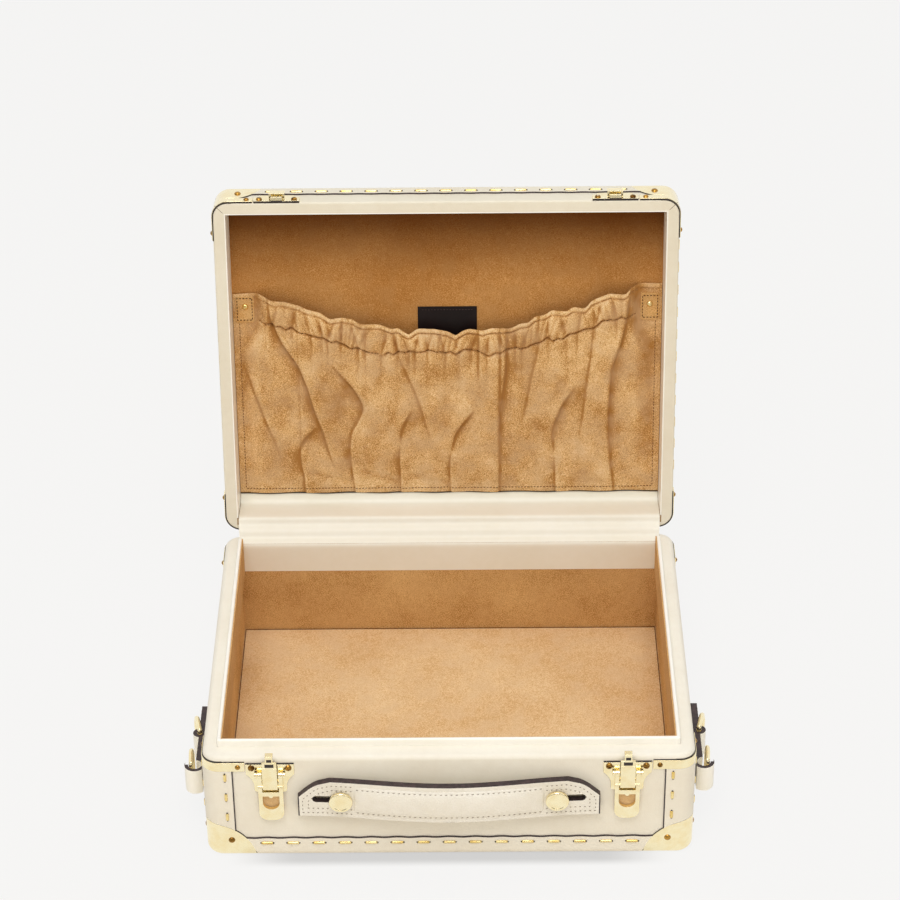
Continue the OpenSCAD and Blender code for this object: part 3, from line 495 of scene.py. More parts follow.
@dataclass
class Surface:
    """Points in mm and faces of one mesh."""

    points: Array
    faces: list

    @classmethod
    def grid(cls, points: Array, wrap: bool = False, ends: bool = False) -> "Surface":
        """Four-sided faces between the rows and columns of points.

        Args:
            points: array of rows, columns and x, y, z.
            wrap: joins the last column to the first.
            ends: closes the first and the last row with one face each.

        Returns:
            The surface.
        """
        rows, cols = points.shape[:2]
        span = cols if wrap else cols - 1
        row, col = np.meshgrid(np.arange(rows - 1), np.arange(span), indexing="ij")
        after = (col + 1) % cols
        here, above = row * cols, (row + 1) * cols
        quads = np.stack([here + col, here + after, above + after, above + col], -1)
        faces = quads.reshape(-1, 4).tolist()
        if ends:
            faces += [list(range(cols))[::-1], list(range((rows - 1) * cols, rows * cols))]
        return cls(points.reshape(-1, 3), faces)

    @classmethod
    def cloth(cls, points: Array, out: Array, thickness: float) -> "Surface":
        """Closed shell: the face of the cloth, its back at thickness behind, and the four edges.

        Args:
            points: array of rows, columns and x, y, z of the face.
            out: unit vectors out of the face, of the same shape.
            thickness: thickness in mm.

        Returns:
            The surface.
        """
        rows, cols = points.shape[:2]
        loop = np.concatenate([points, (points - out * thickness)[:, ::-1]], axis=1)
        shell = cls.grid(loop, wrap=True)
        wide = 2 * cols
        for row in (0, rows - 1):
            start, last = row * wide, (row + 1) * wide - 1
            strip = [[start + c, start + c + 1, last - 1 - c, last - c] for c in range(cols - 1)]
            shell.faces += strip if row else [face[::-1] for face in strip]
        return shell

    @classmethod
    def tube(cls, path: Array, out: Array, profile: Array) -> "Surface":
        """A profile carried along a path.

        Args:
            path: points of the path.
            out: unit vector at each point that the profile's second coordinate follows.
            profile: closed outline, across and out, in mm.

        Returns:
            The closed surface.
        """
        along = unit(np.gradient(path, axis=0))
        across = unit(np.cross(along, out))
        out = np.cross(across, along)
        points = path[:, None] + across[:, None] * profile[:, :1] + out[:, None] * profile[:, 1:]
        return cls.grid(points, wrap=True, ends=True)

    @classmethod
    def block(cls, low: tuple, high: tuple) -> "Surface":
        """A box between two corners.

        Args:
            low: its lowest corner.
            high: its highest corner.

        Returns:
            The closed surface.
        """
        corners = np.array([[(low, high)[i][0], (low, high)[j][1], (low, high)[k][2]]
                            for i in (0, 1) for j in (0, 1) for k in (0, 1)])
        faces = [(0, 1, 3, 2), (4, 6, 7, 5), (0, 4, 5, 1), (2, 3, 7, 6), (0, 2, 6, 4), (1, 5, 7, 3)]
        return cls(corners, faces)

    @classmethod
    def joined(cls, parts: list) -> "Surface":
        """All parts as one surface.

        Args:
            parts: the surfaces.

        Returns:
            One surface with the points and faces of all.
        """
        points, faces, shift = [], [], 0
        for part in parts:
            points.append(part.points)
            faces += [[i + shift for i in face] for face in part.faces]
            shift += len(part.points)
        return cls(np.concatenate(points), faces)


def stitch_row(places: Array, along: Array, out: Array, length: float, width: float) -> Surface:
    """Short sewn stitches, each a thread that rises from the surface and goes back into it.

    A stitch has five stations s from -1 to 1. Its thickness is width times the root of 1 less the square of
    0.9 s, and its middle line stands half a width out, falling with the square of s.

    Args:
        places: middle of each stitch.
        along: unit direction of each stitch.
        out: unit vector out of the surface at each stitch.
        length: length of a stitch in mm.
        width: width of the thread in mm.

    Returns:
        One surface with all stitches.
    """
    s = np.linspace(-1, 1, 5)
    angle = np.linspace(0, 2 * np.pi, 6)[:-1]
    across = np.cross(along, out)
    thick = 0.5 * width * np.sqrt(1 - (0.9 * s) ** 2)
    rise = 0.5 * width * (1 - 1.3 * s ** 2)
    ring = np.cos(angle)[:, None] * across[:, None, None] + np.sin(angle)[:, None] * out[:, None, None]
    centre = (places[:, None, :] + along[:, None, :] * (0.5 * length * s)[None, :, None]
              + out[:, None, :] * rise[None, :, None])
    points = centre[:, :, None, :] + ring * thick[None, :, None, None]
    one = Surface.grid(points[0], wrap=True, ends=True)
    count = points.shape[1] * points.shape[2]
    faces = []
    for i in range(len(points)):
        faces += [[v + i * count for v in face] for face in one.faces]
    return Surface(points.reshape(-1, 3), faces)


def along_line(path: Array, pitch: float) -> tuple[Array, Array]:
    """Evenly spaced places on a path.

    Args:
        path: points of the path, in order.
        pitch: distance between two places.

    Returns:
        The places and the unit directions there.
    """
    steps = np.linalg.norm(np.diff(path, axis=0), axis=1)
    run = np.concatenate([[0], np.cumsum(steps)])
    count = max(2, int(run[-1] / pitch))
    stops = (np.arange(count) + 0.5) * run[-1] / count
    places = np.stack([np.interp(stops, run, path[:, k]) for k in range(3)], -1)
    ahead = np.stack([np.interp(np.minimum(stops + 0.4, run[-1]), run, path[:, k]) for k in range(3)], -1)
    behind = np.stack([np.interp(np.maximum(stops - 0.4, 0), run, path[:, k]) for k in range(3)], -1)
    return places, unit(ahead - behind)


# Workshop


@dataclass
class Workshop:
    """Makes pieces and sets them on the frame's bodies."""

    frame: dict
    finishes: Finishes

    def add(self, name: str, surface: Surface | list, *finishes: str, smooth: float = 40.0) -> Piece:
        """Makes a mesh object at the origin, its faces turned outwards.

        Args:
            name: name of the piece.
            surface: its points in mm and faces, or a list of such surfaces.
            *finishes: names of its finishes, the first for all faces.
            smooth: angle in degrees past which an edge stays sharp.

        Returns:
            The object.
        """
        if isinstance(surface, list):
            surface = Surface.joined(surface)
        mesh = bpy.data.meshes.new(name)
        mesh.from_pydata((surface.points * MM).tolist(), [], surface.faces)
        shell = bmesh.new()
        shell.from_mesh(mesh)
        bmesh.ops.recalc_face_normals(shell, faces=shell.faces)
        shell.to_mesh(mesh)
        shell.free()
        return self.link(name, mesh, finishes, smooth)

    def link(self, name: str, mesh: bpy.types.Mesh, finishes: tuple, smooth: float) -> Piece:
        """Puts a mesh in the scene with its finishes and smooth shading.

        Args:
            name: name of the piece.
            mesh: its mesh.
            finishes: names of its finishes.
            smooth: angle in degrees past which an edge stays sharp.

        Returns:
            The object.
        """
        for key in finishes:
            mesh.materials.append(self.finishes[key])
        mesh.shade_smooth()
        mesh.set_sharp_from_angle(angle=math.radians(smooth))
        return linked(name, mesh)

    def merged(self, node: str) -> bmesh.types.BMesh:
        """Closed copy of a node's mesh, its loose triangles merged and its flat faces joined.

        Args:
            node: name of the node.

        Returns:
            The mesh, which the caller frees.
        """
        shape = bmesh.new()
        shape.from_mesh(self.frame["nodes"][node].data)
        shape.transform(self.frame["nodes"][node].matrix_world)
        bmesh.ops.remove_doubles(shape, verts=shape.verts, dist=4e-6)
        bmesh.ops.dissolve_degenerate(shape, edges=shape.edges, dist=1e-6)
        bmesh.ops.dissolve_limit(shape, angle_limit=math.radians(0.4), verts=shape.verts, edges=shape.edges)
        return shape

    def settle(self, obj: Piece, slot: Slot, body: str | None, *replaced: str) -> Piece:
        """Sets a finished piece on its body and hides the nodes that it stands for.

        Args:
            obj: the piece.
            slot: slot that its finish belongs to; not used.
            body: body that it rides on, or None where it bends between two.
            *replaced: nodes that it replaces.

        Returns:
            The piece.
        """
        if body:
            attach(obj, body)
        if replaced:
            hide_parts(*replaced)
        LOG.info("%s: %d faces", obj.name, len(obj.data.polygons))
        return obj

    def body_of(self, node: str) -> str:
        """Body that a node rides on."""
        bodies = self.frame["record"]["behaviour"]["bodies"]
        return next(body for body, nodes in bodies.items() if node in nodes)

    def carry(self, node: str, slot: Slot, *finishes: str, bevel: float = 0.0, smooth: float = 35.0,
              edge_axis: tuple | None = None, keep: bool = True) -> Piece:
        """Carries a node over as a closed copy with eased edges.

        Args:
            node: name of the node.
            slot: its material slot.
            *finishes: finish of its faces, and of its cut edges where there is a second.
            bevel: width of the eased edges in mm.
            smooth: angle in degrees past which an edge stays sharp.
            edge_axis: faces that look along this axis take the first finish, the others the second.
            keep: whether the copy is settled on the node's body.

        Returns:
            The object.
        """
        shape = self.merged(node)
        mesh = bpy.data.meshes.new(node + "_piece")
        if edge_axis is not None:
            for face in shape.faces:
                face.material_index = int(abs(face.normal.dot(Vector(edge_axis))) < 0.6)
        shape.to_mesh(mesh)
        shape.free()
        for name in [a.name for a in mesh.attributes if a.name == "custom_normal"]:
            mesh.attributes.remove(mesh.attributes[name])
        obj = self.link(node + "_piece", mesh, finishes, smooth)
        if bevel:
            eased_edge = obj.modifiers.new("Eased edges", "BEVEL")
            eased_edge.width = bevel * MM
            eased_edge.segments = 2
            eased_edge.limit_method = "ANGLE"
            eased_edge.angle_limit = math.radians(38)
            eased_edge.harden_normals = True
        if keep:
            self.settle(obj, slot, self.body_of(node), node)
        return obj

    def islands(self, node: str) -> list:
        """Separate solids of one node.

        Labels spread over the triangles: each takes the lowest label of its corners until none changes.

        Args:
            node: name of the node.

        Returns:
            An array of corner points in mm for each solid.
        """
        shape = self.merged(node)
        bmesh.ops.triangulate(shape, faces=shape.faces)
        points = np.array([v.co for v in shape.verts]) / MM
        corners = np.array([[v.index for v in f.verts] for f in shape.faces])
        shape.free()
        label = np.arange(len(points))
        while True:
            before = label.copy()
            np.minimum.at(label, corners, label[corners].min(axis=1, keepdims=True))
            if (before == label).all():
                return [points[label == one] for one in np.unique(label)]


# Space of the lid


@dataclass(frozen=True)
class LidSpace:
    """Places on the shut lid, carried to where the open lid has them.

    x runs along the width, u inwards from the back face and v up from the shut lid's rim.
    """

    axis_y: float
    axis_z: float
    angle: float
    back: float
    rim: float

    @classmethod
    def from_frame(cls, frame: dict, back: float, gap: float) -> "LidSpace":
        """Reads the hinge from the frame.

        Args:
            frame: the loaded frame.
            back: y of the back face in mm.
            gap: half the slit between lid and body in mm.

        Returns:
            The lid's space.
        """
        hinge = next(j for j in frame["record"]["behaviour"]["joints"] if j["name"] == "lid_hinge")
        y, z = hinge["pos_m"][1] / MM, hinge["pos_m"][2] / MM
        return cls(y, z, math.radians(hinge["range_deg"][1]), back, z + gap)

    def place(self, x: Array, u: Array, v: Array) -> Array:
        """Turns shut places by the opening angle about the hinge.

        Args:
            x: along the width.
            u: inwards from the back face.
            v: up from the rim.

        Returns:
            Points of the open lid in mm.
        """
        x, u, v = np.broadcast_arrays(x, u, v)
        dy, dz = self.back - u - self.axis_y, self.rim + v - self.axis_z
        c, s = math.cos(self.angle), math.sin(self.angle)
        return np.stack([x.astype(float), self.axis_y + c * dy + s * dz, self.axis_z - s * dy + c * dz], -1)

    def direction(self, x: float, u: float, v: float) -> Array:
        """Unit direction of the open lid for a shut one given in x, u and v."""
        return unit(self.place(x, u, v) - self.place(0.0, 0.0, 0.0))


@dataclass(frozen=True)
class CaseSizes:
    """Main sizes in mm, read from the frame."""

    half_w: float
    half_d: float
    band_out: float
    lid_h: float = 32.5
    rim_gap: float = 0.4

    @classmethod
    def from_frame(cls) -> "CaseSizes":
        """Measures the cover and the band.

        Returns:
            The sizes.
        """
        _, high = in_mm(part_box("body_cover"))
        _, band_high = in_mm(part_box("base_band"))
        return cls(high[0], high[1], band_high[0] - high[0])


# Body and lid


@dataclass
class RoundHeads:
    """Nail and screw heads, one on each solid of a node."""

    node: str
    slotted: bool = False
    inward: bool = False
    finish: str = "heads"
    # Middles of the body and of the open lid, which the heads point away from
    body_middle: tuple = (0.0, 0.0, 60.0)
    lid_middle: tuple = (0.0, 145.0, 215.0)
    # Turn of each slot against the one before, in radians
    turn: float = 0.7

    def build(self, shop: Workshop) -> None:
        """Finds each head's axis as the direction in which its solid is thinnest, and sets a head there.

        Args:
            shop: the workshop.
        """
        middle = np.array(self.lid_middle if shop.body_of(self.node) == "lid" else self.body_middle)
        parts = []
        for number, solid in enumerate(shop.islands(self.node)):
            centre = (solid.max(axis=0) + solid.min(axis=0)) / 2
            _, axes = np.linalg.eigh(np.cov((solid - solid.mean(axis=0)).T))
            spread = (solid - centre) @ axes
            out = axes[:, np.argmin(np.ptp(spread, axis=0))]
            side = np.sign(out @ (centre - middle)) * (-1 if self.inward else 1)
            out = out * side
            across = unit(np.cross(out, [0.31, 0.2, 0.93]))
            reach = (solid - centre) @ out
            radius = np.abs((solid - centre) @ across).max()
            base = centre + out * reach.min()
            parts.append(self.head(base, out, across, radius, np.ptp(reach), self.turn * number))
        obj = shop.add(self.node + "_heads", parts, self.finish, smooth=50)
        shop.settle(obj, Slot.BRASS, shop.body_of(self.node), self.node)

    def head(self, base: Array, out: Array, across: Array, radius: float, height: float,
             turn: float) -> Surface:
        """One head on a square grid drawn onto a disc.

        The disc's point is a times the root of 1 - b²/2, and b times the root of 1 - a²/2. A nail's height
        is the 0.62 power of 1 less the square of the radius. A screw's is the root of 1 less the fourth
        power, less its slot.

        Args:
            base: centre of its foot.
            out: unit vector out of the surface.
            across: unit vector in the surface.
            radius: its radius.
            height: its height.
            turn: angle of its slot.

        Returns:
            The head's surface.
        """
        if self.slotted:
            a = np.array([-1, -1, -0.85, -0.5, -0.17, -0.15, 0.15, 0.17, 0.5, 0.85, 1, 1])
        else:
            a = np.array([-1, -1, -0.8, -0.45, 0, 0.45, 0.8, 1, 1])
        b = np.array([-1, -1, -0.8, -0.45, 0, 0.45, 0.8, 1, 1])
        ga, gb = np.meshgrid(a, b, indexing="ij")
        px, py = ga * np.sqrt(1 - gb ** 2 / 2), gb * np.sqrt(1 - ga ** 2 / 2)
        far = np.minimum(1, np.hypot(px, py))
        rise = 0.12 + 0.88 * (1 - far ** (4 if self.slotted else 2)) ** (0.5 if self.slotted else 0.62)
        foot = np.zeros_like(ga)
        foot[[0, -1]] = 1
        foot[:, [0, -1]] = 1
        rise = np.where(foot > 0, -0.15, rise)
        if self.slotted:
            rise = np.where((np.abs(ga) < 0.16) & (foot == 0), rise - 0.45, rise)
        side = np.cross(out, across)
        first = math.cos(turn) * across + math.sin(turn) * side
        second = -math.sin(turn) * across + math.cos(turn) * side
        points = base + (px * radius)[..., None] * first + (py * radius)[..., None] * second
        return Surface.grid(points + (rise * height)[..., None] * out)


@dataclass
class DashHoles:
    """Painted shade: dark dimples in the leather where both prongs of each brass dash go in."""

    node: str
    length: float = 1.5
    width: float = 1.25
    sunk: float = 0.35

    def build(self, shop: Workshop) -> None:
        """Sets a low dark dimple at both ends of each dash, along its longest axis.

        Args:
            shop: the workshop.
        """
        places, along, outward = [], [], []
        for solid in shop.islands(self.node):
            centre = (solid.max(axis=0) + solid.min(axis=0)) / 2
            _, axes = np.linalg.eigh(np.cov((solid - solid.mean(axis=0)).T))
            out = axes[:, 0] * np.sign(axes[:, 0] @ (solid.mean(axis=0) - centre) or 1.0)
            far = axes[:, 2]
            reach = np.abs((solid - centre) @ far).max()
            foot = centre + out * ((solid - centre) @ out).min()
            for hand in (-1, 1):
                places.append(foot + hand * reach * far - out * self.sunk)
                along.append(far)
                outward.append(out)
        holes = stitch_row(np.array(places), np.array(along), np.array(outward), self.length, self.width)
        obj = shop.add(self.node + "_holes", holes, "gap")
        shop.settle(obj, Slot.CREAM, shop.body_of(self.node))


@dataclass(frozen=True)
class CapShape:
    """Brass corner: where a ball about the case's corner, set below its base, meets the walls."""

    reach: float = 34.0
    rise: float = 29.0

    def height(self, across: Array, along: Array) -> Array:
        """Height of the cap's edge over its base.

        It is the root of the ball's radius squared less both distances squared, less the ball's drop.

        Args:
            across: distance from one wall's plane.
            along: distance from the other wall's plane.

        Returns:
            Heights over the base.
        """
        drop = (self.reach ** 2 - self.rise ** 2) / (2 * self.rise)
        return np.sqrt(np.maximum((self.rise + drop) ** 2 - across ** 2 - along ** 2, 0)) - drop


@dataclass
class EdgeLines:
    """Dark painted leather edges along the bands, and strips of painted shadow round the caps and beside
    brackets and plates.
    """

    sizes: CaseSizes
    lid: LidSpace
    cap: CapShape = CapShape()
    band_h: float = 16.0
    upright: float = 20.0
    bracket_z: float = 74.9
    bracket_top: float = 82.3
    bracket_reach: float = 28.5
    corner_r: float = 11.0
    dash_pitch: float = 17.7
    wave: float = 0.28
    width: float = 0.85
    # Strips of painted shadow over the latch plates, and along the lid's rim over them
    plate_top: float = 81.5
    keeper_gap: float = 0.5
    plate_w: float = 0.6
    plate_out: float = 1.05
    # Mitres of the lid's rim: their start from the middle and from the lid's front, and their run
    mitre_x: float = 157.6
    mitre_in: float = 7.6
    mitre_run: float = 5.6

    def strip(self, path: Array, out: Array, width: float, proud: float) -> Surface:
        """A slim strip with a rounded back, set into the wall along a path.

        Args:
            path: its points on the wall.
            out: unit vector out of the wall at each point.
            width: its width.
            proud: how far it stands out of the wall.

        Returns:
            The strip's surface.
        """
        half = width / 2
        profile = np.array([[-half, -0.4], [half, -0.4], [half, proud - 0.16], [half * 0.5, proud],
                            [-half * 0.5, proud], [-half, proud - 0.16]])
        return Surface.tube(path, out, profile)

    def line(self, along: Array, height: Array, put: Callable) -> Surface:
        """A strip on one wall.

        Args:
            along: places along the wall.
            height: heights of the places.
            put: turns along, height and distance out of the wall into points.

        Returns:
            The strip's surface.
        """
        path = put(along, height, 0.0)
        return self.strip(path, unit(put(along, height, 1.0) - path), self.width,
                          self.sizes.band_out + 0.16)

    def level(self, reach: float) -> tuple[Array, Array]:
        """Level run from cap to cap: height of the band and a cosine wave, lowest between the dashes.

        Args:
            reach: half the wall's length.

        Returns:
            Places along the wall and their heights.
        """
        near = np.linspace(0, self.cap.reach, 400)
        half = reach - near[np.argmax(self.cap.height(near, 0.0) < self.band_h)]
        x = np.linspace(-half, half, 181)
        return x, self.band_h + self.wave * np.cos(2 * np.pi * x / self.dash_pitch)

    def corner(self, reach: float, side: float, end: float) -> tuple[Array, Array]:
        """Plan of the wall round one corner: a straight run, a quarter circle and a straight run.

        Args:
            reach: how far along both walls it goes.
            side: -1 for the left wall, 1 for the right one.
            end: -1 for the front wall, 1 for the back one.

        Returns:
            Points x, y and the unit vectors out of the wall.
        """
        r = self.corner_r
        turn = np.linspace(0, np.pi / 2, 19)
        arc = np.stack([np.sin(turn), np.cos(turn)], -1)
        run = np.linspace(reach - r, 0, 24)[:-1]
        near = np.stack([-run, np.full(len(run), r)], -1)
        plan = np.concatenate([near, arc * r, near[::-1, ::-1]])
        out = np.concatenate([np.tile([0.0, 1.0], (len(run), 1)), arc, np.tile([1.0, 0.0], (len(run), 1))])
        hands = np.array([side, end])
        middle = np.array([self.sizes.half_w - r, self.sizes.half_d - r])
        return (plan + middle) * hands, out * hands

    def round_corner(self, reach: float, side: float, end: float, height: Callable, width: float,
                     proud: float, lid: bool) -> Surface:
        """A strip round one corner of the body or the lid.

        Args:
            reach: how far along both walls it goes.
            side: -1 for the left wall, 1 for the right one.
            end: -1 for the front wall, 1 for the back one.
            height: turns plan points into heights over the base, or below the lid's top.
            width: its width.
            proud: how far it stands out of the wall.
            lid: whether it is on the lid.

        Returns:
            The strip's surface.
        """
        plan, out = self.corner(reach, side, end)
        z = np.broadcast_to(height(plan), plan.shape[:1])
        if not lid:
            return self.strip(np.column_stack([plan, z]), np.column_stack([out, 0 * z]), width, proud)
        put = [self.lid.place(q[:, 0], self.sizes.half_d - q[:, 1], self.sizes.lid_h - z)
               for q in (plan, plan + out)]
        return self.strip(put[0], unit(put[1] - put[0]), width, proud)

    def trim(self, lid: bool) -> list:
        """Strips of painted shadow at all four corners: round each cap's edge, and on the rim's side of each
        bracket.

        Args:
            lid: whether they are the lid's.

        Returns:
            The strips' surfaces.
        """
        corner = np.array([self.sizes.half_w, self.sizes.half_d])
        bracket = self.sizes.lid_h - self.keeper_gap if lid else self.bracket_top + 0.4
        parts = []
        for side in (-1, 1):
            for end in (-1, 1):
                # Reach, height, width and stand of the cap's strip, the bracket's, and its wider middle
                runs = (
                    (self.cap.reach - (2.0 if lid else 0.5),
                     lambda plan: self.cap.height(*(corner - np.abs(plan)).T) + 0.15, 0.45, 0.75),
                    (self.bracket_reach, lambda plan: bracket, 0.42, 0.45),
                    (self.corner_r + 2.5, lambda plan: bracket, 0.95 if end < 0 else 0.6, 0.5),
                )
                parts += [self.round_corner(reach, side, end, height, width, proud, lid)
                          for reach, height, width, proud in runs]
        return parts

    def walls(self, lid: bool) -> list:
        """Front, back, left and right wall of the body or the lid.

        Args:
            lid: whether they are the lid's.

        Returns:
            Half length of each, and what turns places along it, heights and distances out into points.
        """
        w, d, top = self.sizes.half_w, self.sizes.half_d, self.sizes.lid_h
        plans = ((w, lambda a, o: (a, -d - o)), (w, lambda a, o: (a, d + o)),
                 (d, lambda a, o: (-w - o, a)), (d, lambda a, o: (w + o, a)))

        def put(plan: Callable, a: Array, h: Array, o: float) -> Array:
            """Points of the wall."""
            x, y = plan(a, o)
            return self.lid.place(x, d - y, top - h) if lid else np.stack(np.broadcast_arrays(x, y, h), -1)

        return [(half, partial(put, plan)) for half, plan in plans]

    def build(self, shop: Workshop) -> None:
        """Makes the lines of the body and of the lid.

        Args:
            shop: the workshop.
        """
        rise = np.linspace(float(self.cap.height(self.upright, 0.0)), self.bracket_z, 30)
        for name, body, lid in (("body", "case", False), ("lid", "lid", True)):
            walls, parts, dark = self.walls(lid), [], self.trim(lid)
            for reach, put in walls:
                parts.append(self.line(*self.level(reach), put))
                for hand in () if lid else (-1, 1):
                    parts.append(self.line(np.full(30, hand * (reach - self.upright)), rise, put))
            front = walls[0][1]
            height = self.sizes.lid_h - self.keeper_gap if lid else self.plate_top
            for side in Side:
                low, high = in_mm(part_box(f"latch_plate_{side.word}"))
                path = front(np.linspace(low[0], high[0], 12), height, 0.0)
                out = unit(front(path[:, 0], height, 1.0) - path)
                dark.append(self.strip(path, out, self.plate_w, self.plate_out))
            shop.settle(shop.add(f"{name}_edge_lines", parts, "edge"), Slot.CREAM, body)
            # The gap lines are strips of painted shadow beside the brass
            shop.settle(shop.add(f"{name}_gap_lines", dark, "gap"), Slot.CREAM, body)
        self.mitres(shop)

    def mitres(self, shop: Workshop) -> None:
        """Fine seams where the leather of the lid's rim meets at its two far corners.

        Args:
            shop: the workshop.
        """
        parts = []
        share = np.linspace(0, 1, 12)
        for side in (-1, 1):
            x = side * (self.mitre_x + self.mitre_run * share)
            u = 2 * self.sizes.half_d - self.mitre_in + self.mitre_run * share
            path = self.lid.place(x, u, np.full(12, 0.0))
            out = np.tile(self.lid.direction(0.0, 0.0, -1.0), (12, 1))
            profile = np.array([[-0.16, -0.3], [0.16, -0.3], [0.16, 0.04], [-0.16, 0.04]])
            parts.append(Surface.tube(path, out, profile))
        shop.settle(shop.add("lid_mitres", parts, "seam_thread"), Slot.CREAM, "lid")


@dataclass
class Shells:
    """Board, leather, linings, bands and brass trim of the body and the lid."""

    sizes: CaseSizes
    lid: LidSpace

    def build(self, shop: Workshop) -> None:
        """Carries every plain node of the two shells over.

        Args:
            shop: the workshop.
        """
        for node in ("body_core", "lid_core"):
            shop.carry(node, Slot.BOARD, "board")
        shop.carry("body_cover", Slot.CREAM, "cream", smooth=50)
        shop.carry("lid_cover", Slot.CREAM, "lid_cream", smooth=50)
        for node in ("base_band", "corner_bands"):
            shop.carry(node, Slot.CREAM, "cream", bevel=0.3)
        shop.carry("lid_band", Slot.CREAM, "lid_cream", bevel=0.3)
        lip = shop.carry("body_lip", Slot.PALE, "pale", bevel=1.2)
        lip.modifiers[0].segments = 4
        shop.carry("lid_wall_leather", Slot.PALE, "pale")
        shop.carry("collar_lining", Slot.SUEDE, "collar")
        shop.carry("floor_lining", Slot.SUEDE, "floor")
        self.floor_seam(shop)
        shop.carry("wall_lining", Slot.SUEDE, "walls")
        shop.carry("lid_lining", Slot.SUEDE, "lining")
        for node in ("body_stitches", "lid_stitches"):
            shop.carry(node, Slot.BRASS, "dash", smooth=50)
            DashHoles(node).build(shop)
        for side in Side:
            for end in ("front", "back"):
                shop.carry(f"base_cap_{end}_{side.word}", Slot.BRASS, "brass", bevel=0.3)
        shop.carry("lid_caps", Slot.BRASS, "brass", bevel=0.3)
        for node in ("rim_brackets", "lid_brackets"):
            shop.carry(node, Slot.BRASS, "brass", bevel=0.25)
        for node in ("body_nails", "lid_nails"):
            RoundHeads(node).build(shop)
        EdgeLines(self.sizes, self.lid).build(shop)

    def floor_seam(self, shop: Workshop) -> None:
        """Painted shadow: three slim dark brown strips on the floor lining, just inside its left, back and
        right edges.

        Args:
            shop: the workshop.
        """
        low, high = in_mm(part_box("floor_lining"))
        inner = 1.5
        path = np.array([[low[0] + inner, low[1] + inner], [low[0] + inner, high[1] - inner],
                         [high[0] - inner, high[1] - inner], [high[0] - inner, low[1] + inner]])
        path = np.column_stack([path, np.full(4, high[2])])
        up = np.tile([0.0, 0.0, 1.0], (2, 1))
        profile = np.array([[-0.3, -0.2], [0.3, -0.2], [0.3, 0.3], [-0.3, 0.3]])
        parts = [Surface.tube(path[i:i + 2], up, profile) for i in range(3)]
        shop.settle(shop.add("floor_seam", parts, "brown_thread"), Slot.SUEDE, "case")


# Handle


